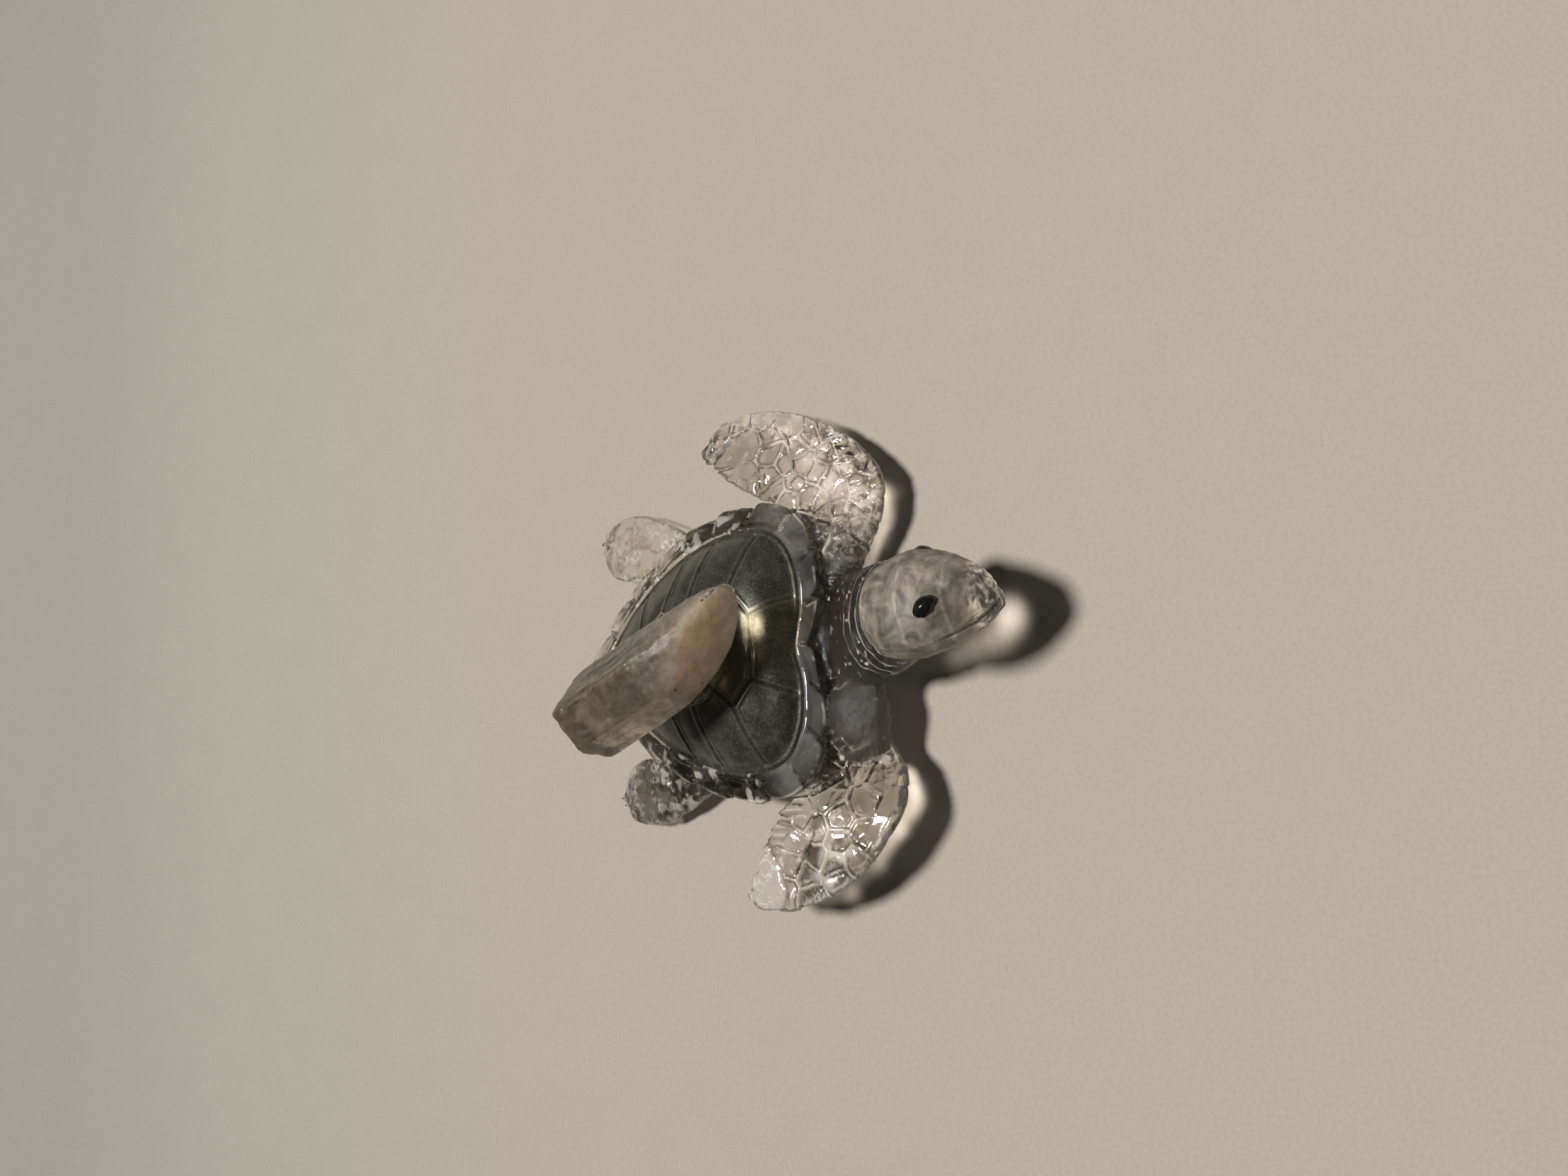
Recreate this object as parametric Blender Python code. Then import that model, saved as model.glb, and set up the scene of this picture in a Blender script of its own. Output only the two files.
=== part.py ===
"""A hatchling sea turtle figurine: a clear cast-resin animal with a dark metallic shell set into its back,
two black eyes, and a quartz point glued across the shell.

The turtle faces -Y, its left side is +X, and it rests on its flat belly at Z = 0.
All sizes below are millimetres; they are turned into metres where a mesh is made.
"""
import math

import bmesh
import bpy
from mathutils import Matrix, Vector

MM = 0.001

# Clearance between separate pieces
GAP = 0.3

# Carapace: the rim belongs to the clear casting, the cap is the dark insert
RIM_WIDTH = 30.6
RIM_FRONT = -14.7
RIM_REAR = 16.4
RIM_EDGE_HEIGHT_FRONT = 5.8
RIM_EDGE_HEIGHT_REAR = 3.6
RIM_EDGE_THICKNESS = 1.1
RIM_OVERHANG = 3.0
RIM_LAND = 0.3
MARGINALS_PER_SIDE = 10
MARGINAL_STEP = 0.35
MARGINAL_GROOVE = 0.35
# Points of each rim scute: the kind of point and its share of the scute's length
MARGINAL_PARTS = (("groove", 0.0), ("start", 0.10), ("middle", 0.5), ("end", 0.90))
# Slope of the rim's top: share of the way from its edge in to the cap, and share of the rise
RIM_SLOPE = ((0.12, 0.10), (0.50, 0.55))

CAP_WIDTH = 25.0
CAP_FRONT = -12.9
CAP_REAR = 13.2
CAP_EDGE_HEIGHT_FRONT = 7.1
CAP_EDGE_HEIGHT_REAR = 5.1
CAP_TOP_HEIGHT = 12.0
CAP_CREST_Y = -2.5
DOME_POWER = 2.2
CAP_LIP_DEPTH = 1.1
CAP_LIP_WIDTH = 1.6
CAP_WALL = 1.8
CAP_BEAD = 0.35
CAP_POINTS = 56
# Rings of the dome, as shares of the way from the crest to the edge: the rolled bead first
BEAD_SHARES = (0.985, 0.955)
DOME_SHARES = (0.91, 0.82, 0.70, 0.56, 0.40, 0.22)

# Half outline shared by belly, rim and cap: share of the half width, share of the length from the front
OUTLINE = (
    (0.00, 0.035), (0.30, 0.004), (0.60, 0.012), (0.84, 0.062), (0.965, 0.145), (1.00, 0.275),
    (0.975, 0.40), (0.88, 0.55), (0.715, 0.695), (0.50, 0.825), (0.27, 0.930), (0.09, 0.988),
)
OUTLINE_STEPS = 12

# Belly
BELLY_WIDTH = 21.0
BELLY_FRONT = -12.5
BELLY_REAR = 11.5
BELLY_BULGE = 1.3
BELLY_BULGE_HEIGHT = 1.6
# Middle of the flank: share of the way out from belly to rim, and share of the rim's height
FLANK_SPREAD = 0.60
FLANK_RISE = 0.58

# Scute seams, on the cap's own plan: share of its half width, and share of its length from the front
VERTEBRAL_SEAM = (
    (0.45, -0.05), (0.26, 0.165), (0.47, 0.24), (0.27, 0.325), (0.42, 0.42), (0.24, 0.495),
    (0.35, 0.555), (0.19, 0.65), (0.23, 0.685), (0.12, 0.80), (0.19, 1.0),
)
COSTAL_SEAMS = (
    ((0.47, 0.24), (0.91, 0.19), (1.12, 0.17)),
    ((0.42, 0.42), (0.91, 0.395), (1.12, 0.385)),
    ((0.35, 0.555), (0.74, 0.535), (1.00, 0.52)),
    ((0.23, 0.685), (0.48, 0.725), (0.72, 0.78)),
)
VERTEBRAL_CROSS_SEAMS = ((0.26, 0.165), (0.27, 0.325), (0.24, 0.495), (0.19, 0.65), (0.12, 0.80))
SEAM_RADIUS = 0.32
SEAM_SPACING = 1.6
# How far past the cap's edge a seam runs, as a share of the way out from the crest
SEAM_REACH = 1.15

# Neck: stations of (Y, X, height of the middle, half width, half height)
NECK_STATIONS = (
    (-8.0, 0.0, 3.0, 6.4, 2.2), (-13.0, 0.4, 2.9, 6.6, 2.4), (-15.6, 0.8, 3.2, 6.4, 2.7),
    (-18.0, 1.1, 4.4, 6.0, 3.6), (-20.4, 1.3, 5.7, 5.7, 4.0), (-22.8, 1.6, 7.0, 5.4, 4.2),
    (-24.8, 1.7, 8.4, 4.9, 4.1), (-26.8, 1.8, 9.5, 4.3, 3.7),
)
NECK_FOLD_HEIGHT = 0.35
NECK_FOLDS_FROM = 2
NECK_SIDES = 20

# Round mass at the root of the right front flipper
SHOULDER_MIDDLE = (-7.2, -17.7, 5.0)
SHOULDER_SIZE = (9.4, 7.4, 3.8)
SHOULDER_SEGMENTS = 20
SHOULDER_RINGS = 12

# Head, in its own frame: it points along its own -Y
HEAD_MIDDLE = (2.2, -28.9, 10.6)
HEAD_LENGTH = 12.7
HEAD_WIDTH = 10.8
HEAD_HEIGHT = 9.0
HEAD_TURN = 5.5
HEAD_ROLL = 40.0
HEAD_NOD = 3.0
HEAD_SIDES = 24
# Share of the length from the back, share of the half width, share of the half height, drop of the middle
HEAD_STATIONS = (
    (0.00, 0.42, 0.45, 0.00), (0.05, 0.66, 0.70, 0.00), (0.15, 0.86, 0.90, 0.00), (0.30, 0.98, 1.00, 0.00),
    (0.45, 1.00, 1.00, 0.00), (0.60, 0.92, 0.93, 0.02), (0.74, 0.74, 0.80, 0.05), (0.86, 0.52, 0.66, 0.09),
    (0.94, 0.36, 0.50, 0.14), (1.00, 0.16, 0.26, 0.24),
)
# Station along the head and angle from the top, left eye then right eye
EYE_PLACES = {1: (0.44, 61.0), -1: (0.57, 50.0)}
EYE_LENGTH = 2.8
EYE_HEIGHT = 1.9
EYE_DEPTH = 1.8
EYE_STAND_OUT = 0.45
EYE_SLANT = -30.0
EYE_SEGMENTS = 20
EYE_RINGS = 12

# Front flippers: chords from the leading edge to the trailing edge, as X out from the midline and Y
LEFT_FLIPPER = (
    ((3.5, -15.2), (6.5, -6.4)), ((9.4, -19.6), (12.0, -8.6)), ((13.2, -21.2), (14.2, -9.2)),
    ((16.8, -21.0), (15.3, -8.0)), ((20.2, -18.2), (16.2, -5.8)), ((22.8, -14.6), (17.6, -3.4)),
    ((24.5, -11.0), (19.2, -1.4)), ((25.6, -7.2), (20.8, 0.5)), ((26.0, -3.8), (22.0, 1.7)),
    ((26.0, -1.0), (23.0, 2.1)),
)
RIGHT_FLIPPER = (
    ((3.2, -15.4), (6.5, -7.2)), ((9.2, -20.2), (11.4, -10.6)), ((12.4, -22.2), (13.3, -11.9)),
    ((16.2, -22.7), (14.4, -11.0)), ((19.3, -21.0), (15.4, -9.9)), ((21.8, -18.7), (17.0, -8.6)),
    ((23.7, -16.1), (18.9, -7.5)), ((24.8, -13.4), (20.7, -6.7)), ((25.6, -10.3), (22.3, -5.9)),
    ((25.7, -6.7), (24.0, -4.9)),
)
FLIPPER_ROOT_HEIGHT = 3.8
FLIPPER_TOP_RISE = 0.4
FLIPPER_TIP_HEIGHT = 0.75
# Along the blade: where the rise to the elbow is over, where the fall to the tip begins,
# and how late it falls
ELBOW_END = 0.60
FALL_START = 0.25
FALL_CURVE = 1.3
# The right flipper's level height, and between which shares of its length it lifts to it
FLIPPER_LIFTED_HEIGHT = 6.9
LIFT_START = 0.12
LIFT_END = 0.42
FLIPPER_LEAD_THICKNESS = 2.6
FLIPPER_TRAIL_THICKNESS = 1.3
FLIPPER_TIP_THICKNESS = 0.9
FLIPPER_SIDES = 14
# A blade's cross-section: 1 is an ellipse, less is fuller
BLADE_FULLNESS = 0.75

# Rear flippers: chords from the outer edge to the inner edge
REAR_FLIPPER = (
    ((11.5, 1.5), (6.5, 4.5)), ((14.2, 4.2), (8.8, 7.8)), ((15.9, 7.4), (9.9, 10.8)),
    ((16.9, 10.2), (9.9, 13.0)), ((17.1, 12.8), (10.8, 15.2)), ((16.5, 15.1), (12.4, 16.3)),
    ((15.6, 16.1), (13.9, 16.6)),
)
RIGHT_REAR_SHIFT = -1.8
REAR_ROOT_HEIGHT = 2.9
REAR_TIP_HEIGHT = 0.8
REAR_ROOT_THICKNESS = 2.4
REAR_TIP_THICKNESS = 1.0
REAR_TRAIL_ROOT_THICKNESS = 1.7
REAR_TRAIL_TIP_THICKNESS = 0.7

# Quartz point, in its own frame: +X along it towards its tip, +Y to its left, +Z up
QUARTZ_SIDE = 4.5
QUARTZ_MIDDLE = (-1.9, -3.5)
QUARTZ_HEADING = -65.4
QUARTZ_ROLL = 17.5
QUARTZ_BACK = 13.6
QUARTZ_FACE_SLOPE = 52.0
# Tip faces: direction round the axis from its right side, and where the face crosses the axis
QUARTZ_TIP_FACES = ((30.0, 6.0), (150.0, 14.1), (270.0, 13.9))
# Broken end: direction round the axis, lean from the axis, and where the break crosses the axis
QUARTZ_BREAKS = ((180.0, 48.0, 14.2), (75.0, 20.0, 12.6), (0.0, 16.0, 12.1), (300.0, 35.0, 14.9))

# Glue between the cap and the quartz
GLUE_BED = 0.7
GLUE_LENGTH = 8.2
GLUE_WIDTH = 6.0
GLUE_CLIMB = 0.8
GLUE_SET_BACK = 1.2
GLUE_SEGMENTS = 32
GLUE_RINGS = 16

# Edges flatter than this are shaded smooth
SMOOTH_ANGLE = 40.0
ROUND_SMOOTH_ANGLE = 60.0

# Colour, roughness, metallic and transmission of each material
FINISHES = {
    "clear_resin": ((0.80, 0.78, 0.74), 0.08, 0.0, 0.9),
    "metallic_resin": ((0.12, 0.14, 0.13), 0.35, 0.7, 0.0),
    "black_gloss": ((0.01, 0.01, 0.01), 0.1, 0.0, 0.0),
    "frosted_quartz": ((0.62, 0.55, 0.47), 0.35, 0.0, 0.5),
    "clear_glue": ((0.85, 0.84, 0.80), 0.1, 0.0, 0.9),
}


def catmull_rom(points, steps):
    """A closed smooth curve through the given plan points."""
    curve = []
    count = len(points)
    for i in range(count):
        before, start, end, after = (points[(i + k) % count] for k in (-1, 0, 1, 2))
        for step in range(steps):
            t = step / steps
            weights = (
                -0.5 * t + t * t - 0.5 * t ** 3,
                1 - 2.5 * t * t + 1.5 * t ** 3,
                0.5 * t + 2 * t * t - 1.5 * t ** 3,
                -0.5 * t * t + 0.5 * t ** 3,
            )
            corners = (before, start, end, after)
            curve.append(sum((corner * w for corner, w in zip(corners, weights)), Vector((0.0, 0.0))))
    return curve


def spaced_along(curve, shares):
    """Points of a closed curve at the given shares of its length."""
    lengths = [0.0]
    for i, point in enumerate(curve):
        lengths.append(lengths[-1] + (curve[(i + 1) % len(curve)] - point).length)
    found = []
    k = 0
    for share in shares:
        target = share * lengths[-1]
        while lengths[k + 1] < target:
            k += 1
        t = (target - lengths[k]) / (lengths[k + 1] - lengths[k])
        found.append(curve[k].lerp(curve[(k + 1) % len(curve)], t))
    return found


def marginal_shares():
    """Where the rim's ring points lie as shares of its length, and what part of a scute each is."""
    count = 2 * MARGINALS_PER_SIDE
    return [((i + part) / count, kind) for i in range(count) for kind, part in MARGINAL_PARTS]


SHARES = marginal_shares()


def plan_ring(width, front, rear, shares=None):
    """The shell's outline at one size, as plan points from the nape round by the left side."""
    half = [(x * width / 2, front + y * (rear - front)) for x, y in OUTLINE]
    loop = half + [(0.0, rear)] + [(-x, y) for x, y in reversed(half[1:])]
    curve = catmull_rom([Vector(p) for p in loop], OUTLINE_STEPS)
    return spaced_along(curve, shares or [share for share, kind in SHARES])


def cap_outline(wall=0.0, shares=None):
    """The cap's outline, drawn in by a wall; it has evenly spaced points of its own."""
    even = [i / CAP_POINTS for i in range(CAP_POINTS)]
    return plan_ring(CAP_WIDTH - 2 * wall, CAP_FRONT + wall, CAP_REAR - wall, shares or even)


def along_shell(y, at_front, at_rear):
    """A height that changes evenly from the front of the rim to its rear."""
    t = (y - RIM_FRONT) / (RIM_REAR - RIM_FRONT)
    return at_front + (at_rear - at_front) * min(max(t, 0.0), 1.0)


def rim_height(y):
    return along_shell(y, RIM_EDGE_HEIGHT_FRONT, RIM_EDGE_HEIGHT_REAR)


def cap_edge_height(y):
    return along_shell(y, CAP_EDGE_HEIGHT_FRONT, CAP_EDGE_HEIGHT_REAR)


def grown(ring, amount):
    """A plan ring moved outwards, square to itself."""
    moved = []
    for i, point in enumerate(ring):
        along = ring[(i + 1) % len(ring)] - ring[i - 1]
        moved.append(point + Vector((along.y, -along.x)).normalized() * amount)
    return moved


def smooth_by_angle(mesh, degrees):
    mesh.shade_smooth()
    mesh.set_sharp_from_angle(angle=math.radians(degrees))


def placed_object(name, mesh):
    piece = bpy.data.objects.new(name, mesh)
    bpy.context.scene.collection.objects.link(piece)
    return piece


def mesh_object(name, rings):
    """A closed body through rings of points, each given in millimetres, with its two ends capped."""
    bm = bmesh.new()
    loops = [[bm.verts.new(Vector(p) * MM) for p in ring] for ring in rings]
    for lower, upper in zip(loops, loops[1:]):
        for i in range(len(lower)):
            j = (i + 1) % len(lower)
            bm.faces.new((lower[i], lower[j], upper[j], upper[i]))
    for loop in (loops[0], loops[-1]):
        middle = bm.verts.new(sum((v.co for v in loop), Vector()) / len(loop))
        for i in range(len(loop)):
            bm.faces.new((loop[i], loop[(i + 1) % len(loop)], middle))
    bmesh.ops.triangulate(bm, faces=bm.faces)
    bmesh.ops.recalc_face_normals(bm, faces=bm.faces)
    if bm.calc_volume(signed=True) < 0:
        bmesh.ops.reverse_faces(bm, faces=bm.faces)
    mesh = bpy.data.meshes.new(name)
    bm.to_mesh(mesh)
    bm.free()
    smooth_by_angle(mesh, SMOOTH_ANGLE)
    return placed_object(name, mesh)


def as_helper(piece):
    piece.hide_render = True
    piece.display_type = "WIRE"
    return piece


def combine(piece, helpers, operation, crossing=False):
    """Joins helper solids to a piece, or cuts them out of it, all in one pass.

    Crossing helpers may also cut each other.
    """
    group = bpy.data.collections.new(f"{piece.name}_{operation.lower()}")
    for helper in helpers:
        group.objects.link(as_helper(helper))
    modifier = piece.modifiers.new(group.name, "BOOLEAN")
    modifier.operand_type = "COLLECTION"
    modifier.collection = group
    modifier.operation = operation
    modifier.solver = "EXACT"
    modifier.use_self = crossing


def material(name):
    colour, roughness, metallic, transmission = FINISHES[name]
    made = bpy.data.materials.new(name)
    made.diffuse_color = (*colour, 1.0)
    made.use_nodes = True
    shader = made.node_tree.nodes["Principled BSDF"]
    shader.inputs["Base Color"].default_value = (*colour, 1.0)
    shader.inputs["Roughness"].default_value = roughness
    shader.inputs["Metallic"].default_value = metallic
    shader.inputs["Transmission Weight"].default_value = transmission
    return made


def with_heights(ring, height):
    """Plan points raised to a height, which may be a number or a function of Y."""
    return [(p.x, p.y, height(p.y) if callable(height) else height) for p in ring]


def between(lower, upper, t):
    return [a.lerp(b, t) for a, b in zip(lower, upper)]


def cap_ring(share, lift=0.0, wall=0.0, shares=None):
    """A ring of the cap's dome at a share of the way from the crest to the edge, raised by lift."""
    outline = cap_outline(wall, shares)
    crest = Vector((0.0, CAP_CREST_Y))
    ring = []
    for point in outline:
        edge = cap_edge_height(point.y)
        height = edge + (CAP_TOP_HEIGHT - edge) * (1 - share ** DOME_POWER)
        place = crest.lerp(point, share)
        ring.append((place.x, place.y, height + lift))
    return ring


def cap_height_at(x, y):
    """Height of the dome over a plan point, found along its own ray from the crest."""
    crest = Vector((0.0, CAP_CREST_Y))
    outline = cap_outline()
    away = Vector((x, y)) - crest
    for start, end in zip(outline, outline[1:] + outline[:1]):
        a = start - crest
        b = end - crest
        if a.cross(away) >= 0 > b.cross(away) and a.dot(away) > 0:
            crossing = a.lerp(b, a.cross(away) / (a.cross(away) - b.cross(away)))
            break
    share = away.length / crossing.length
    edge = cap_edge_height(crossing.y + crest.y)
    return edge + (CAP_TOP_HEIGHT - edge) * (1 - min(share, SEAM_REACH) ** DOME_POWER)


def torso():
    """Belly, flanks and rim of the casting, with the flat land and the core that carry the cap."""
    belly = plan_ring(BELLY_WIDTH, BELLY_FRONT, BELLY_REAR)
    rim = plan_ring(RIM_WIDTH, RIM_FRONT, RIM_REAR)
    kinds = [kind for share, kind in SHARES]
    shares = [share for share, kind in SHARES]
    land = grown(cap_outline(shares=shares), GAP + RIM_LAND)
    core = cap_outline(CAP_LIP_WIDTH / 2, shares)
    step = {"groove": -MARGINAL_STEP, "start": 0.0, "middle": MARGINAL_STEP / 2, "end": MARGINAL_STEP}
    groove = {"groove": MARGINAL_GROOVE, "start": 0.0, "middle": 0.0, "end": 0.0}
    outer = [p + (q - p) * (step[k] - MARGINAL_STEP) for p, q, k in zip(rim, grown(rim, 1.0), kinds)]
    under = plan_ring(RIM_WIDTH - 2 * RIM_OVERHANG, RIM_FRONT + RIM_OVERHANG, RIM_REAR - RIM_OVERHANG)

    def raised(ring, height, sunk=0.0):
        return [(x, y, z - sunk * groove[k]) for (x, y, z), k in zip(with_heights(ring, height), kinds)]

    def rim_top(t):
        return lambda y: (1 - t) * (rim_height(y) + RIM_EDGE_THICKNESS / 2) + t * cap_edge_height(y)

    flank = between(grown(belly, BELLY_BULGE), under, FLANK_SPREAD)
    rings = [
        with_heights(belly, 0.0),
        with_heights(grown(belly, BELLY_BULGE), BELLY_BULGE_HEIGHT),
        with_heights(flank, lambda y: rim_height(y) * FLANK_RISE),
        with_heights(under, lambda y: rim_height(y) - RIM_EDGE_THICKNESS),
        raised(outer, lambda y: rim_height(y) - RIM_EDGE_THICKNESS / 2),
        raised(outer, lambda y: rim_height(y) + RIM_EDGE_THICKNESS / 4, 0.5),
    ]
    rings += [raised(between(outer, land, inward), rim_top(rise), 1.0) for inward, rise in RIM_SLOPE]
    rings += [with_heights(land, cap_edge_height), with_heights(core, cap_edge_height)]
    rings += [cap_ring(share, lift=-CAP_WALL / 2, shares=shares) for share in DOME_SHARES]
    return mesh_object("resin_body", rings)


def cap_underside(grow=0.0):
    """Rings of the cap's inner face from under the crest to the foot of its edge."""
    wall = CAP_LIP_WIDTH + grow
    inner = cap_outline(wall)
    outer = grown(cap_outline(), grow)

    def foot(y):
        return cap_edge_height(y) - CAP_LIP_DEPTH - grow

    rings = [cap_ring(share, lift=-CAP_WALL - grow, wall=wall) for share in reversed(DOME_SHARES)]
    return rings + [with_heights(inner, foot), with_heights(outer, foot)]


def cap():
    """The dark insert: a domed shell with a rolled edge, seated in the casting."""
    rings = cap_underside()
    rings.append(with_heights(cap_outline(), cap_edge_height))
    rings += [cap_ring(share, lift=CAP_BEAD) for share in BEAD_SHARES]
    rings += [cap_ring(share) for share in DOME_SHARES]
    return mesh_object("shell_cap", rings)


def cap_seat():
    """Everything that the casting leaves free for the cap: its solid and a clearance, open upwards."""
    rings = cap_underside(GAP)
    clear_above = CAP_TOP_HEIGHT + CAP_WALL
    rings.append([(x, y, clear_above) for x, y, z in rings[-1]])
    return mesh_object("cap_seat", rings)


def on_cap(point):
    """A plan point of the cap from its shares of the half width and of the length."""
    return point[0] * CAP_WIDTH / 2, CAP_FRONT + point[1] * (CAP_REAR - CAP_FRONT)


def seam_curve(shares, mirrored):
    """Points of one seam laid on the dome, close enough together to follow it."""
    points = [on_cap(share) for share in shares]
    laid = []
    for (x0, y0), (x1, y1) in zip(points, points[1:]):
        steps = 1 + 2 * round(math.hypot(x1 - x0, y1 - y0) / SEAM_SPACING / 2)
        for step in range(steps):
            laid.append((x0 + (x1 - x0) * step / steps, y0 + (y1 - y0) * step / steps))
    laid.append(points[-1])
    side = -1 if mirrored else 1
    return [Vector((side * x, y, cap_height_at(x, y))) * MM for x, y in laid]


def seams():
    """Diamond-section tubes along the scute seams, which cut shallow grooves in the cap."""
    routes = [(VERTEBRAL_SEAM, side) for side in (False, True)]
    routes += [(seam, side) for seam in COSTAL_SEAMS for side in (False, True)]
    routes += [(((-x, y), (x, y)), False) for x, y in VERTEBRAL_CROSS_SEAMS]
    curve = bpy.data.curves.new("shell_seams", "CURVE")
    curve.dimensions = "3D"
    curve.bevel_depth = SEAM_RADIUS * MM
    curve.bevel_resolution = 0
    curve.use_fill_caps = True
    for route, mirrored in routes:
        points = seam_curve(route, mirrored)
        spline = curve.splines.new("POLY")
        spline.points.add(len(points) - 1)
        for slot, point in zip(spline.points, points):
            slot.co = (*point, 1.0)
    holder = as_helper(placed_object("shell_seams_curve", curve))
    view = bpy.context.evaluated_depsgraph_get()
    return placed_object("shell_seams", bpy.data.meshes.new_from_object(holder.evaluated_get(view)))


def neck():
    """The neck, whose skin folds are raised rings between the shoulders and the head."""
    rings = []
    stations = []
    for i, (start, end) in enumerate(zip(NECK_STATIONS, NECK_STATIONS[1:])):
        stations.append((start, 0.0))
        if i >= NECK_FOLDS_FROM:
            stations.append((tuple((a + b) / 2 for a, b in zip(start, end)), NECK_FOLD_HEIGHT))
    stations.append((NECK_STATIONS[-1], 0.0))
    for (y, x, z, wide, high), fold in stations:
        rings.append([
            (
                x + (wide + fold) * math.cos(2 * math.pi * k / NECK_SIDES),
                y,
                max(0.0, z + (high + fold) * math.sin(2 * math.pi * k / NECK_SIDES)),
            )
            for k in range(NECK_SIDES)
        ])
    return mesh_object("neck", rings)


def head_frame():
    """Turns the head's own frame into the turtle's: nod and roll first, then the turn to the side."""
    turn = Matrix.Rotation(math.radians(HEAD_TURN), 4, "Z")
    nod = Matrix.Rotation(math.radians(HEAD_NOD), 4, "X")
    roll = Matrix.Rotation(math.radians(HEAD_ROLL), 4, "Y")
    return Matrix.Translation(HEAD_MIDDLE) @ turn @ nod @ roll


def head_station(share, round_angle):
    """A point of the head's surface in its own frame, the angle counted from the top towards its left."""
    stations = HEAD_STATIONS
    k = max(i for i, station in enumerate(stations[:-1]) if station[0] <= share)
    t = (share - stations[k][0]) / (stations[k + 1][0] - stations[k][0])
    wide, high, drop = (a + (b - a) * t for a, b in zip(stations[k][1:], stations[k + 1][1:]))
    return Vector((
        HEAD_WIDTH / 2 * wide * math.sin(round_angle),
        HEAD_LENGTH * (0.5 - share),
        HEAD_HEIGHT / 2 * (high * math.cos(round_angle) - drop),
    ))


def head():
    frame = head_frame()
    rings = []
    for share, *rest in HEAD_STATIONS:
        angles = [2 * math.pi * k / HEAD_SIDES for k in range(HEAD_SIDES)]
        rings.append([frame @ head_station(share, angle) for angle in angles])
    return mesh_object("head", rings)


def ellipsoid(name, frame, size, segments, rows):
    """A round body of the given three sizes in a frame, all in millimetres."""
    bm = bmesh.new()
    bmesh.ops.create_uvsphere(bm, u_segments=segments, v_segments=rows, radius=0.5)
    placed = Matrix.Scale(MM, 4) @ frame @ Matrix.Diagonal((*size, 1.0))
    bmesh.ops.transform(bm, matrix=placed, verts=bm.verts)
    mesh = bpy.data.meshes.new(name)
    bm.to_mesh(mesh)
    bm.free()
    smooth_by_angle(mesh, ROUND_SMOOTH_ANGLE)
    return placed_object(name, mesh)


def shoulder():
    """The thick root of the right front flipper, a round mass between the neck and the rim."""
    return ellipsoid(
        "shoulder", Matrix.Translation(SHOULDER_MIDDLE), SHOULDER_SIZE, SHOULDER_SEGMENTS, SHOULDER_RINGS,
    )


def eye(name, side, grow=0.0):
    """A black eye bead on one side of the head; grown a little, it is the socket's cutter."""
    station, degrees = EYE_PLACES[side]
    angle = math.radians(degrees) * side
    place = head_station(station, angle)
    outward = Vector((math.sin(angle), 0.0, math.cos(angle) * HEAD_WIDTH / HEAD_HEIGHT)).normalized()
    across = outward.cross(Vector((0.0, -1.0, 0.0))).normalized()
    along = across.cross(outward)
    slant = Matrix.Rotation(math.radians(EYE_SLANT) * side, 3, outward)
    axes = Matrix((slant @ along, slant @ across, outward)).transposed().to_4x4()
    frame = head_frame() @ Matrix.Translation(place + outward * (EYE_STAND_OUT - EYE_DEPTH / 2)) @ axes
    size = [length + 2 * grow for length in (EYE_LENGTH, EYE_HEIGHT, EYE_DEPTH)]
    return ellipsoid(name, frame, size, EYE_SEGMENTS, EYE_RINGS)


def blade(name, chords, side, heights, thicknesses, shift=0.0):
    """A flipper through its chords, with a round leading edge and a thin trailing edge."""
    rings = []
    last = len(chords) - 1
    for i, (lead, trail) in enumerate(chords):
        t = i / last
        middle = heights(t)
        lead_thick, trail_thick = thicknesses(t)
        ring = []
        for k in range(FLIPPER_SIDES):
            angle = 2 * math.pi * k / FLIPPER_SIDES
            u = (1 - math.cos(angle)) / 2
            thick = (lead_thick + (trail_thick - lead_thick) * u) / 2
            sine = round(math.sin(angle), 6)
            bulge = math.copysign(abs(sine) ** BLADE_FULLNESS, sine)
            x = lead[0] + (trail[0] - lead[0]) * u
            y = lead[1] + (trail[1] - lead[1]) * u + shift
            ring.append((side * x, y, max(0.0, middle + thick * bulge)))
        rings.append(ring)
    return mesh_object(name, rings)


def left_height(t):
    """The blade's middle rises a little to the elbow and comes down to the table at the tip."""
    rise = FLIPPER_TOP_RISE * math.sin(math.pi * min(t / ELBOW_END, 1.0))
    fall = max(0.0, (t - FALL_START) / (1 - FALL_START)) ** FALL_CURVE
    return FLIPPER_ROOT_HEIGHT + rise + (FLIPPER_TIP_HEIGHT - FLIPPER_ROOT_HEIGHT) * fall


def right_height(t):
    """The right flipper lifts off the table at the elbow and is held up level."""
    share = min(max((t - LIFT_START) / (LIFT_END - LIFT_START), 0.0), 1.0)
    lift = FLIPPER_LIFTED_HEIGHT - FLIPPER_ROOT_HEIGHT
    return FLIPPER_ROOT_HEIGHT + lift * share * share * (3 - 2 * share)


def front_thickness(t):
    lead = FLIPPER_LEAD_THICKNESS + (FLIPPER_TIP_THICKNESS - FLIPPER_LEAD_THICKNESS) * t
    trail = FLIPPER_TRAIL_THICKNESS + (FLIPPER_TIP_THICKNESS - FLIPPER_TRAIL_THICKNESS) * t
    return lead, trail


def rear_height(t):
    return REAR_ROOT_HEIGHT + (REAR_TIP_HEIGHT - REAR_ROOT_HEIGHT) * t


def rear_thickness(t):
    lead = REAR_ROOT_THICKNESS + (REAR_TIP_THICKNESS - REAR_ROOT_THICKNESS) * t
    trail = REAR_TRAIL_ROOT_THICKNESS + (REAR_TRAIL_TIP_THICKNESS - REAR_TRAIL_ROOT_THICKNESS) * t
    return lead, trail


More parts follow.
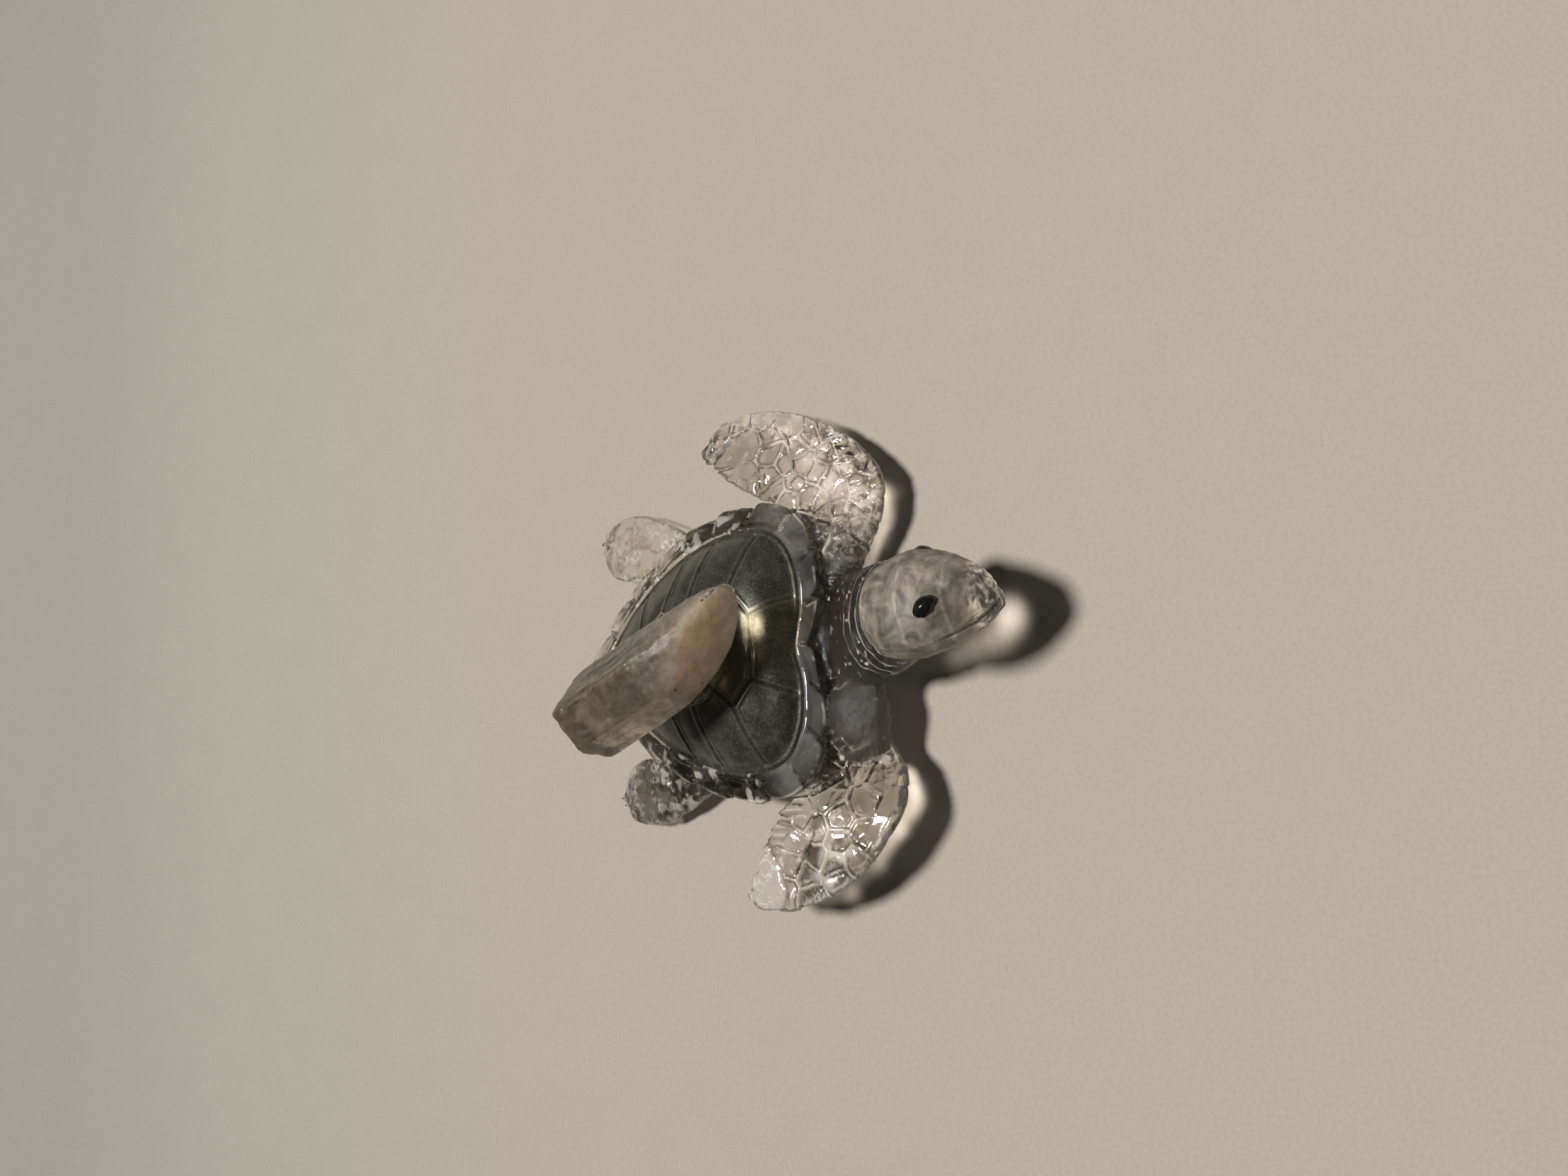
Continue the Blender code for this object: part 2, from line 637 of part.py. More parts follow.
def quartz_frame():
    """Lays the prism level over the crest, high enough for the glue bed under its lowest corner."""
    lowest = QUARTZ_SIDE * max(math.sin(math.radians(60 * k + QUARTZ_ROLL)) for k in range(6))
    height = CAP_TOP_HEIGHT + GAP + GLUE_BED + lowest
    heading = Matrix.Rotation(math.radians(QUARTZ_HEADING), 4, "Z")
    roll = Matrix.Rotation(math.radians(QUARTZ_ROLL), 4, "X")
    return Matrix.Translation((*QUARTZ_MIDDLE, height)) @ heading @ roll


def quartz(name, grow=0.0):
    """A six-sided prism, cut by its sloping tip faces and by the breaks at its other end."""
    bm = bmesh.new()
    radius = QUARTZ_SIDE + grow / math.cos(math.radians(30))
    front = max(reach for direction, reach in QUARTZ_TIP_FACES)
    middle = Matrix.Translation(((front - QUARTZ_BACK) / 2, 0.0, 0.0))
    bmesh.ops.create_cone(
        bm, cap_ends=True, segments=6, radius1=radius, radius2=radius,
        depth=front + QUARTZ_BACK + 2 * grow, matrix=middle @ Matrix.Rotation(math.radians(90), 4, "Y"),
    )
    faces = [(direction, QUARTZ_FACE_SLOPE, reach, 1) for direction, reach in QUARTZ_TIP_FACES]
    faces += [(direction, lean, reach, -1) for direction, lean, reach in QUARTZ_BREAKS]
    for direction, lean, reach, end in faces:
        turn = math.radians(direction)
        axial = math.cos(math.radians(lean))
        radial = math.sin(math.radians(lean))
        normal = Vector((end * axial, -radial * math.cos(turn), radial * math.sin(turn)))
        cut = bmesh.ops.bisect_plane(
            bm, geom=bm.verts[:] + bm.edges[:] + bm.faces[:],
            plane_co=normal * (reach * axial + grow), plane_no=normal, clear_outer=True,
        )
        rim = [item for item in cut["geom_cut"] if isinstance(item, bmesh.types.BMEdge)]
        if rim:
            bmesh.ops.edgeloop_fill(bm, edges=rim)
    bmesh.ops.transform(bm, matrix=Matrix.Scale(MM, 4) @ quartz_frame(), verts=bm.verts)
    bmesh.ops.recalc_face_normals(bm, faces=bm.faces)
    mesh = bpy.data.meshes.new(name)
    bm.to_mesh(mesh)
    bm.free()
    return placed_object(name, mesh)


def dome_cutter(lift):
    """The space under the cap's top face, raised by a clearance, down to below the glue."""
    rings = [[(x, y, 0.0) for x, y, z in cap_ring(1.0)], cap_ring(1.0, lift=lift)]
    rings += [cap_ring(share, lift=lift) for share in DOME_SHARES]
    return mesh_object("dome_cutter", rings)


def glue():
    """The squeezed-out bed of clear glue that fills the space between the cap and the quartz."""
    heading = Matrix.Rotation(math.radians(QUARTZ_HEADING), 4, "Z")
    set_back = Matrix.Translation((-GLUE_SET_BACK, 0.0, 0.0))
    frame = Matrix.Translation((*QUARTZ_MIDDLE, CAP_TOP_HEIGHT)) @ heading @ set_back
    size = (GLUE_LENGTH, GLUE_WIDTH, 2 * (GAP + GLUE_BED + GLUE_CLIMB))
    piece = ellipsoid("crystal_glue", frame, size, GLUE_SEGMENTS, GLUE_RINGS)
    combine(piece, (dome_cutter(GAP), quartz("quartz_cutter", GAP)), "DIFFERENCE")
    return piece


def build():
    for leftover in list(bpy.data.objects):
        bpy.data.objects.remove(leftover)

    body = torso()
    limbs = [neck(), head(), shoulder()]
    sides = (
        (1, "left", LEFT_FLIPPER, left_height, 0.0),
        (-1, "right", RIGHT_FLIPPER, right_height, RIGHT_REAR_SHIFT),
    )
    for side, label, chords, heights, shift in sides:
        limbs.append(blade(f"front_flipper_{label}", chords, side, heights, front_thickness))
        limbs.append(blade(f"rear_flipper_{label}", REAR_FLIPPER, side, rear_height, rear_thickness, shift))
    combine(body, limbs, "UNION")
    sockets = [eye("left_socket", 1, GAP), eye("right_socket", -1, GAP)]
    combine(body, [cap_seat()] + sockets, "DIFFERENCE")

    shell = cap()
    combine(shell, [seams()], "DIFFERENCE", crossing=True)

    black = material("black_gloss")
    finished = (
        (body, material("clear_resin")),
        (shell, material("metallic_resin")),
        (eye("left_eye", 1), black),
        (eye("right_eye", -1), black),
        (quartz("quartz_point"), material("frosted_quartz")),
        (glue(), material("clear_glue")),
    )
    for piece, finish in finished:
        piece.data.materials.append(finish)


build()
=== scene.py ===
"""Looks of the clear resin turtle figurine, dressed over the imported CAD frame.

The turtle faces -Y, its left side is +X, and its belly rests on the paper at Z = 0.
Sizes below are millimetres. Shapes are built in millimetres and turned into metres at the end.
"""
import itertools
import math

import bmesh
import bpy
import numpy as np
from mathutils import Matrix, Vector
from mathutils.kdtree import KDTree


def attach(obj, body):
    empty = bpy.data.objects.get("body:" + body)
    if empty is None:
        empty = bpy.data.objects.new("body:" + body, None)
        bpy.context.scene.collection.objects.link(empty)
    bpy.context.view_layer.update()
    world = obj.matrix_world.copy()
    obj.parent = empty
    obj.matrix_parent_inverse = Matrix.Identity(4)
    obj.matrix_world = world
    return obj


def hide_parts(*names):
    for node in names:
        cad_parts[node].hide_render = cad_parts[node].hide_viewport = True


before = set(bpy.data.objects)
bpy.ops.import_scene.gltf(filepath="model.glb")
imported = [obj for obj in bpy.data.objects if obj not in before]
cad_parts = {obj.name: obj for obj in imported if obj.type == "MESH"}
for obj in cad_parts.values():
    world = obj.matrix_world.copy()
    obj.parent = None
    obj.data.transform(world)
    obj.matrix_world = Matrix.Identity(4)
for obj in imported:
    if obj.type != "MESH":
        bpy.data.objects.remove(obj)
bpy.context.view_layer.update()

MM = 0.001

# Camera, as the photograph was taken: from in front, above, and a little to the turtle's right
PHOTO_WIDTH = 2212
FOCAL_PIXELS = 2100
SENSOR_WIDTH = 36.0
CAMERA_ELEVATION = 57.0
CAMERA_AZIMUTH = 15.0
CAMERA_HEADING = 8.0
CAMERA_DISTANCE = 150.0
CAMERA_TARGET = (6.03, -10.26, 6.0)

# Key lamp: nearly overhead, leaning towards the turtle's tail and its left side
LAMP_LEAN = 15.0
LAMP_SIDE = 4.0
LAMP_DISTANCE = 620.0
LAMP_SIZE = 110.0
LAMP_POWER = 3.95
LAMP_COLOUR = (1.0, 0.965, 0.92)
FILL_STRENGTH = 0.055
FILL_COLOUR = (1.0, 0.95, 0.92)
PAPER_COLOUR = (0.513, 0.472, 0.414)
PAPER_BEHIND_COLOUR = (0.428, 0.415, 0.360)
PAPER_FAR_COLOUR = (0.366, 0.360, 0.312)
# The paper's shades run from this far in front of the middle to this far behind it: place, brightness
PAPER_FADE = 120.0
PAPER_SHADES = ((0.17, 1.10), (0.35, 1.04), (0.48, 0.985), (0.59, 0.96))
PAPER_BEHIND = 0.85
PAPER_HALF_WIDTH = 260.0
PAPER_DROP = 0.03

# Fineness of the casting's and the crystal's skin, points round the other forms, and rings along them
SKIN_STEP = 0.16
NECK_SIDES, NECK_RINGS = 48, 56
SHOULDER_SIDES, SHOULDER_RINGS = 48, 26
HEAD_SIDES, HEAD_RINGS = 64, 60
CAP_SIDES = 480

# Shell outline and rim, as in the CAD source; RIM, BELLY and CAP are full width, front Y and rear Y
OUTLINE = (
    (0.00, 0.035), (0.30, 0.004), (0.60, 0.012), (0.84, 0.062), (0.965, 0.145), (1.00, 0.275),
    (0.975, 0.40), (0.88, 0.55), (0.715, 0.695), (0.50, 0.825), (0.27, 0.930), (0.09, 0.988),
)
OUTLINE_STEPS = 12
RIM = (30.6, -14.7, 16.4)
RIM_EDGE_HEIGHT = (5.8, 3.6)
RIM_THICKNESS = 1.1
RIM_OVERHANG = 3.0
RIM_LAND = 0.6
MARGINALS = 20
MARGINAL_STEP = 0.35
# Saw-toothed edge of one marginal scute: share of its length, step outwards
MARGINAL_PROFILE = ((0.0, -0.35), (0.10, 0.0), (0.5, 0.175), (0.90, 0.35), (1.0, -0.35))
POINTS_PER_MARGINAL = 14
BELLY = (21.0, -12.5, 11.5)
BELLY_BULGE = 1.3
BELLY_BULGE_HEIGHT = 1.6
FLANK_SPREAD = 0.60
FLANK_RISE = 0.58
CAP = (25.0, -12.9, 13.2)
CAP_EDGE_HEIGHT = (7.1, 5.1)
CAP_TOP_HEIGHT = 12.0
CAP_CREST = (0.0, -2.5)
DOME_POWER = 2.2
CAP_LIP_DEPTH = 1.1
CAP_WALL = 1.8
# Rim's top from its edge up to the cap: share of the way in, share of the rise
RIM_SLOPE = ((0.12, 0.10), (0.30, 0.34), (0.50, 0.55), (0.75, 0.80))
LAND_RISE, SEAT_RISE, SEAT_INSET, SEAT_DEPTH = 0.12, 0.22, 0.8, 0.45
# Rings of the core under the cap, of the cap's inside, and of its top: first, last, count
CORE_SHARES = (0.91, 0.82, 0.70, 0.56, 0.40, 0.22)
CAP_INNER_SHARES = (0.05, 0.3, 0.55, 0.75, 0.9)
CAP_SHARES = ((1.0, 0.9, 26), (0.895, 0.02, 150))
CAP_SKIN = 1.6
CAP_SHARP_ANGLE = 50
VERTEBRAL_SEAM = (
    (0.45, -0.05), (0.26, 0.165), (0.47, 0.24), (0.27, 0.325), (0.42, 0.42), (0.24, 0.495),
    (0.35, 0.555), (0.19, 0.65), (0.23, 0.685), (0.12, 0.80), (0.19, 1.0),
)
COSTAL_SEAMS = (
    ((0.47, 0.24), (0.91, 0.19), (1.12, 0.17)),
    ((0.42, 0.42), (0.91, 0.395), (1.12, 0.385)),
    ((0.35, 0.555), (0.74, 0.535), (1.00, 0.52)),
    ((0.23, 0.685), (0.48, 0.725), (0.72, 0.78)),
)
CROSS_SEAMS = ((0.26, 0.165), (0.27, 0.325), (0.24, 0.495), (0.19, 0.65), (0.12, 0.80))

# Nearly flat place of the cap that mirrors the lamp: middle, half sizes in X and Y, slopes in X and Y
CAP_FLAT = (2.0, -9.4, 10.42)
CAP_FLAT_SIZE = (3.3, 2.3)
CAP_FLAT_SLOPE = (0.04, 0.14)
# Knobs of the cap that catch the light: X, Y, radius, height
CAP_BUMPS = ((-3.0, -11.0, 1.0, 0.40), (-5.2, -11.2, 0.8, 0.30))

# Neck stations of Y, X, height of the middle, half width, half height
NECK = (
    (-8.0, 0.0, 3.0, 6.4, 2.2), (-13.0, 0.4, 2.9, 6.6, 2.4), (-15.6, 0.8, 3.2, 6.4, 2.7),
    (-18.0, 1.1, 4.4, 6.0, 3.6), (-20.4, 1.3, 5.7, 5.7, 4.0), (-22.8, 1.6, 7.0, 5.4, 4.2),
    (-24.8, 1.7, 8.4, 4.9, 4.1), (-26.8, 1.8, 9.5, 4.3, 3.7),
)
# Distance between the skin folds that ring the head
FOLD_STEP = 1.15
HEAD_MIDDLE = (2.2, -28.9, 10.6)
HEAD_SIZE = (10.8, 12.7, 9.0)
HEAD_TURN = 5.5
HEAD_ROLL = 40.0
HEAD_NOD = 3.0
# Share of the length from the back, share of the half width, share of the half height, drop of the middle
HEAD_STATIONS = (
    (0.00, 0.42, 0.45, 0.00), (0.05, 0.66, 0.70, 0.00), (0.15, 0.86, 0.90, 0.00), (0.30, 0.98, 1.00, 0.00),
    (0.45, 1.00, 1.00, 0.00), (0.60, 0.92, 0.93, 0.02), (0.74, 0.74, 0.80, 0.05), (0.86, 0.52, 0.66, 0.09),
    (0.94, 0.36, 0.50, 0.14), (1.00, 0.16, 0.26, 0.24),
)
# Station along the head and angle from the top, left eye then right eye
EYE_PLACES = {1: (0.44, 61.0), -1: (0.57, 50.0)}
EYE_SIZE = (2.8, 1.9, 1.8)
EYE_STAND_OUT = 0.45
EYE_SLANT = -30.0

# Flippers: chords of leading X, leading Y, trailing X, trailing Y; X counted out from the midline
LEFT_FLIPPER = (
    (3.5, -15.2, 6.5, -6.4), (9.4, -19.6, 12.0, -8.6), (13.2, -21.2, 14.2, -9.2),
    (16.8, -21.0, 15.3, -8.0), (20.2, -18.2, 16.2, -5.8), (22.8, -14.6, 17.6, -3.4),
    (24.5, -11.0, 19.2, -1.4), (25.6, -7.2, 20.8, 0.5), (26.0, -3.8, 22.0, 1.7), (26.0, -1.0, 23.0, 2.1),
)
RIGHT_FLIPPER = (
    (3.2, -15.4, 6.5, -7.2), (9.2, -20.2, 11.4, -10.6), (12.4, -22.2, 13.3, -11.9),
    (16.2, -22.7, 14.4, -11.0), (19.3, -21.0, 15.4, -9.9), (21.8, -18.7, 17.0, -8.6),
    (23.7, -16.1, 18.9, -7.5), (24.8, -13.4, 20.7, -6.7), (25.6, -10.3, 22.3, -5.9), (25.7, -6.7, 24.0, -4.9),
)
REAR_FLIPPER = (
    (11.5, 1.5, 6.5, 4.5), (14.2, 4.2, 8.8, 7.8), (15.9, 7.4, 9.9, 10.8), (16.9, 10.2, 9.9, 13.0),
    (17.1, 12.8, 10.8, 15.2), (16.5, 15.1, 12.4, 16.3), (15.6, 16.1, 13.9, 16.6),
)
RIGHT_REAR_SHIFT = -1.8
# Front flippers: height of the root, rise to the left elbow, fall to the left tip, lift of the right blade
ROOT_HEIGHT, ELBOW_RISE, TIP_FALL, RIGHT_LIFT = 3.8, 0.4, 3.05, 3.1
# Thickness at the root and what it loses towards the tip: leading edge, trailing edge
FRONT_THICKNESS = ((2.6, 1.7), (1.3, 0.4))
# The same of the rear flippers, after the height of their middle
REAR_BLADE = ((2.9, 2.1), (2.4, 1.4), (1.7, 1.0))
BLADE_STEPS = 96
BLADE_SIDES = 44
BLADE_FULLNESS = 0.75
TIP_TEAR = 0.7
# Length of the overlapping plates along the right flipper's trailing edge
TRAIL_PLATE = 1.65

# Width of the shade of each front flipper's rounded leading edge, as a share of its chord
LEAD_SHADE = {1: 0.20, -1: 0.30}
# How far the light runs sideways for each millimetre that it falls, in X and Y
LAMP_SLOPE = (0.07, 0.268)
# Most of the lamp's light that a place can pass on, where the resin gathers it
LIGHT_LIMIT = 6.0
# Bright spots that the resin gathers on the paper: X, Y, radius, strength
CAUSTICS = (
    (1.6, -31.1, 0.8, 5.5), (0.5, -30.9, 0.9, 2.2), (-0.5, -29.6, 1.0, 1.6), (-1.2, -27.7, 1.0, 1.1),
    (-2.0, -25.7, 1.0, 0.6), (14.9, -19.4, 1.0, 0.6), (10.7, -18.2, 0.9, 0.5), (-14.5, -20.4, 0.8, 0.7),
    (-24.3, -12.5, 0.8, 0.7), (-21.6, -15.9, 0.8, 0.4), (15.5, -13.5, 2.6, 0.6), (19.0, -10.0, 1.8, 0.35),
)

# Spots of painted shade on the front flippers: X counted out from the midline, Y, radius, how dark
LEFT_SHADE_SPOTS = (
    (22.5, -8.0, 0.4, 0.8), (20.4, -9.2, 0.4, 0.8), (9.9, -17.3, 2.6, 0.45), (21.6, -6.8, 0.4, 0.6),
    (24.1, -9.2, 1.0, 0.4), (15.5, -20.4, 1.0, 0.4), (19.0, -15.4, 0.7, 0.5),
)
RIGHT_SHADE_SPOTS = (
    (10.9, -18.4, 2.4, 0.7), (13.4, -20.9, 1.8, 0.7), (16.0, -22.0, 1.6, 0.7), (18.0, -21.5, 1.4, 0.5),
    (15.9, -18.7, 1.9, 0.45), (15.3, -14.7, 1.7, 0.6), (12.6, -12.5, 1.6, 0.6), (19.9, -7.0, 1.3, 0.4),
)

# Zones of painted light on the front flippers, where light gathers: X counted out from the midline, Y,
# radius, strength
LEFT_PAINTED_LIGHTS = (
    (18.0, -12.1, 1.7, 0.55), (17.0, -15.7, 1.7, 0.60), (19.5, -13.9, 1.2, 0.35), (15.2, -14.3, 1.5, 0.50),
    (13.2, -18.2, 1.3, 0.40), (9.4, -15.8, 1.0, 0.55), (16.5, -9.6, 1.0, 0.40), (14.8, -17.0, 1.2, 0.55),
)
RIGHT_PAINTED_LIGHTS = (
    (21.5, -15.2, 1.7, 0.75), (19.7, -15.7, 1.5, 0.60), (23.1, -14.3, 1.3, 0.50), (20.6, -17.0, 1.0, 0.35),
)

# Middles of the skin plates that the photograph shows on the front flippers
LEFT_PLATES = (
    (26.2, -1.0), (25.8, -3.9), (25.3, -6.7), (22.4, -4.4), (18.4, -4.6), (22.9, -8.2), (23.7, -9.2),
    (23.7, -11.6), (21.7, -13.1), (20.6, -8.1), (19.3, -15.1), (17.6, -17.7), (20.1, -17.1), (22.3, -14.5),
    (19.6, -9.6), (19.0, -12.3), (17.7, -14.2), (18.4, -7.9), (16.9, -8.9), (16.9, -10.8), (15.6, -10.3),
    (15.0, -13.2), (16.7, -15.6), (15.1, -16.7), (15.8, -19.1), (17.4, -19.7), (14.5, -19.0), (14.9, -20.6),
    (14.3, -14.3), (13.1, -16.7), (13.0, -15.0), (13.0, -18.2), (13.1, -19.8), (20.4, -11.6), (11.4, -18.6),
    (11.6, -16.6), (11.2, -14.4), (12.2, -12.4), (9.6, -16.8),
)
RIGHT_PLATES = (
    (15.8, -18.6), (12.0, -17.5), (15.1, -14.6), (17.3, -16.0), (18.9, -18.6), (19.2, -15.6), (21.2, -17.6),
    (21.4, -15.2), (20.7, -13.4), (22.5, -12.3), (22.9, -15.6), (16.7, -12.0), (18.2, -13.8), (13.4, -20.4),
    (19.2, -11.2), (21.4, -10.4), (24.0, -9.6), (24.5, -12.6), (10.4, -14.4), (12.8, -13.2), (20.0, -20.2),
)

# Of the left and the right front flipper: plates, spots of painted shade, zones of painted light, first
# number for its noise
FRONT_SKIN = {
    1: (LEFT_PLATES, LEFT_SHADE_SPOTS, LEFT_PAINTED_LIGHTS, 3), -1: (RIGHT_PLATES, RIGHT_SHADE_SPOTS, RIGHT_PAINTED_LIGHTS, 5),
}
# Marks of the front flippers, in relief and in painted shade and highlights: places as shares along, from the
# root, and across, from the leading edge
BAND_ACROSS, BAND_ALONG = (0.17, 0.21), (0.44, 0.54)
SLIT_ALONG, SLIT_ACROSS, SLIT_SLOPE, SLIT_HALF_LENGTH, SLIT_HALF_WIDTH = 0.63, 0.555, 0.6, 0.12, 0.024
STREAK_ALONG, STREAK_ACROSS, STREAK_SLOPE = 0.70, 0.74, 1.1
STRIP_START, STRIP_SLOPE = 0.935, 0.26
ELBOW_TILES = (26.0, 7.0)
# Fold near the left root: a point on it, the direction across it, its middle X, half length and half width
ROOT_FOLD = ((10.4, -15.4), (0.55, 0.9), 9.2, 2.2, 0.34)
# Height of the faint plates elsewhere, and the usual tone and grit of the skin
PLATE_RELIEF = 0.05
BODY_TONE = 0.8
SMOOTH_GRIT = 0.1

# Thick root of the right front flipper: middle and size
SHOULDER_MIDDLE = (-7.2, -17.7, 5.0)
SHOULDER_SIZE = (9.4, 7.4, 3.8)

PARTS = range(8)
LEFT_FRONT, RIGHT_FRONT, LEFT_REAR, RIGHT_REAR, TORSO, NECK_PART, HEAD_PART, SHOULDER = PARTS

# Colours of the resin: clear, milky from dark to light, the pale lines and painted highlights on its raised
# edges, half tone of its tint and of its painted shade, shadow
RESIN_CLEAR = (0.975, 0.97, 0.955)
RESIN_MILK = ((0.235, 0.208, 0.172), (0.480, 0.432, 0.368))
RESIN_LINE = (0.80, 0.76, 0.67)
RESIN_HALF_TONE = (0.52, 0.485, 0.43)
RESIN_SHADOW = (1.0, 0.985, 0.955)

# Colours of the cap: its clouds from dark to light, its flakes, and the paler lines along its seams, painted
# highlights on the ridges beside them
BLACK, WHITE = (0.0, 0.0, 0.0), (1.0, 1.0, 1.0)
CAP_CLOUDS = ((0.046, 0.046, 0.037), (0.115, 0.115, 0.094))
CAP_FLAKES = (0.12, 0.12, 0.10)
CAP_LINES = (0.055, 0.055, 0.047)
# Colours of the crystal: clear and frosted sides, strip on top, painted light on the tip's faces that turn
# from the lamp from dark to light, specks, shadow
QUARTZ_SIDES = ((0.31, 0.27, 0.195), (0.115, 0.096, 0.071))
QUARTZ_STRIP = (0.30, 0.27, 0.22)
QUARTZ_PAINTED_TIP_LIGHT = ((0.74, 0.63, 0.51), (0.98, 0.86, 0.73))
QUARTZ_SPECKS = (0.22, 0.09, 0.04)
QUARTZ_SHADOW = ((0.12, 0.10, 0.07), (0.9, 0.85, 0.75))
GLUE_COLOUR = (0.9, 0.89, 0.86)
GLUE_SHADOW = (0.9, 0.9, 0.88)

# Crystal, and the glue under it
QUARTZ_SIDE = 4.5
QUARTZ_MIDDLE = (-1.9, -3.5)
QUARTZ_HEADING = -65.4
QUARTZ_ROLL = 17.5
QUARTZ_BACK = 13.6
# How much the rounded solid bulges over its faces
QUARTZ_FULLNESS = 0.3
QUARTZ_ROUNDS = 8
QUARTZ_LIFT = 1.0
# Direction round the axis, lean from the axis, where the face crosses the axis; front faces, then breaks
QUARTZ_TIP = ((30.0, 52.0, 6.0), (150.0, 52.0, 14.1), (270.0, 52.0, 13.9))
QUARTZ_BREAKS = ((180.0, 48.0, 14.2), (75.0, 20.0, 12.6), (0.0, 16.0, 12.1), (300.0, 35.0, 14.9))
GLUE_SIZE = (8.2, 6.0, 3.0)
GLUE_SET_BACK = 1.2


def hashed(keys, salt):
    """Repeatable pseudo-random numbers from 0 to 1 for rows of three whole numbers."""
    code = keys[..., 0] * 73856093 ^ keys[..., 1] * 19349663 ^ keys[..., 2] * 83492791 ^ salt * 2654435
    code = (code ^ code >> 13) * 1274126177 & 0xFFFFFFFF
    code = (code ^ code >> 16) * 2246822519 & 0xFFFFFFFF
    return (code ^ code >> 15 & 0xFFFFFF) % 0x1000000 / 0x1000000


def noise(points, size, salt=0):
    """Smooth noise from -1 to 1 with features about one size across."""
    scaled = points / size
    base = np.floor(scaled).astype(np.int64)
    t = scaled - base
    t = t * t * (3 - 2 * t)
    total = np.zeros(len(points))
    for corner in itertools.product((0, 1), repeat=3):
        total += np.prod(np.where(corner, t, 1 - t), axis=1) * hashed(base + np.array(corner), salt)
    return total * 2 - 1


def rough(points, size, salt=0, octaves=3):
    """Several layers of noise, each half as large and half as strong as the last."""
    return sum(noise(points, size / 2 ** k, salt + k) / 2 ** k for k in range(octaves))


def cells(points, seeds):
    """Nearest seed, distance to its border, and offset from it, for each point."""
    offsets = points[:, None, :] - seeds
    square = (offsets ** 2).sum(axis=2)
    nearest = square.argmin(axis=1)
    row = np.arange(len(points))
    own = points - offsets[row, nearest]
    apart = np.sqrt(((own[:, None, :] - seeds) ** 2).sum(axis=2))
    border = (square - square[row, nearest][:, None]) / (2 * np.maximum(apart, 1e-6))
    border[row, nearest] = np.inf
    return nearest, border.min(axis=1), offsets[row, nearest]


def scattered(points, size, salt, jitter=0.8):
    """Seeds of a jittered grid around each point, with a number that names each seed."""
    base = np.floor(points / size).astype(np.int64)
    around = base[:, None, :] + np.array(list(itertools.product((-1, 0, 1), repeat=points.shape[1])))
    full = np.zeros((*around.shape[:2], 3), dtype=np.int64)
    full[..., :points.shape[1]] = around
    shift = np.stack([hashed(full, salt + k) for k in range(points.shape[1])], axis=-1)
    return (around + 0.5 + jitter * (shift - 0.5)) * size, hashed(full, salt + 7)


def scattered_cells(points, size, salt, jitter=0.8):
    seeds, names = scattered(points, size, salt, jitter)
    nearest, border, offset = cells(points, seeds)
    return names[np.arange(len(points)), nearest], border, offset


def smooth_step(value, low, high):
    t = np.clip((value - low) / (high - low), 0.0, 1.0)
    return t * t * (3 - 2 * t)


def ridge(distance, width):
    return np.exp(-(distance / width) ** 2)


def over(base, mask, value):
    """A value laid over a base where the mask is 1."""
    return base * (1 - mask) + mask * value


def squared_away(points, x, y, wide):
    """Squared plan distance from a place, counted in radii."""
    return ((points[:, 0] - x) ** 2 + (points[:, 1] - y) ** 2) / wide ** 2


def spots(points, places):
    """The sum of soft round spots, each given as X, Y, radius, strength."""
    return sum(strength * np.exp(-squared_away(points, *place)) for *place, strength in places)


def until(value, low, high):
    """1 up to the low value, and 0 from the high one on."""
    return 1 - smooth_step(value, low, high)


def full_turn(count):
    return np.linspace(0.0, 2 * math.pi, count, endpoint=False)


def tapered(pairs, t):
    """Sizes at a share t of the way, each from its start and what it loses up to the end."""
    return tuple(start - loss * t for start, loss in pairs)


def rotation(degrees, axis):
    return Matrix.Rotation(math.radians(degrees), 4, axis)


def moved(points, matrix):
    turned = np.array(matrix)
    return points @ turned[:3, :3].T + turned[:3, 3]


def shown(name, data):
    piece = bpy.data.objects.new(name, data)
    bpy.context.scene.collection.objects.link(piece)
    return piece


def open_curve(points, t):
    """Rows of numbers blended smoothly at a share t of the way along them."""
    points = np.asarray(points, dtype=float)
    last = len(points) - 1
    place = min(max(t, 0.0), 1.0) * last
    k = min(int(place), last - 1)
    f = place - k
    before = points[k - 1] if k else 2 * points[0] - points[1]
    after = points[k + 2] if k + 2 <= last else 2 * points[last] - points[last - 1]
    start, end = points[k], points[k + 1]
    return 0.5 * (
        2 * start + (end - before) * f
        + (2 * before - 5 * start + 4 * end - after) * f ** 2
        + (3 * start - before - 3 * end + after) * f ** 3
    )


def loft(rings):
    """Points and faces of a closed tube through equal rings."""
    count = len(rings[0])
    points = np.vstack([*rings, rings[0].mean(axis=0), rings[-1].mean(axis=0)])
    last = (len(rings) - 1) * count
    faces = []
    for i in range(count):
        j = (i + 1) % count
        faces += [(a + i, a + j, a + count + j, a + count + i) for a in range(0, last, count)]
        faces += [(j, i, len(points) - 2), (last + i, last + j, len(points) - 1)]
    return points, faces


def closed_curve(points, steps):
    """A closed smooth plan curve through the given points."""
    points = np.asarray(points)
    t = np.arange(steps)[:, None] / steps
    before, start, end, after = (np.roll(points, -k, axis=0)[:, None, :] for k in (-1, 0, 1, 2))
    curve = (
        before * (-0.5 * t + t * t - 0.5 * t ** 3) + start * (1 - 2.5 * t * t + 1.5 * t ** 3)
        + end * (0.5 * t + 2 * t * t - 1.5 * t ** 3) + after * (-0.5 * t * t + 0.5 * t ** 3)
    )
    return curve.reshape(-1, 2)


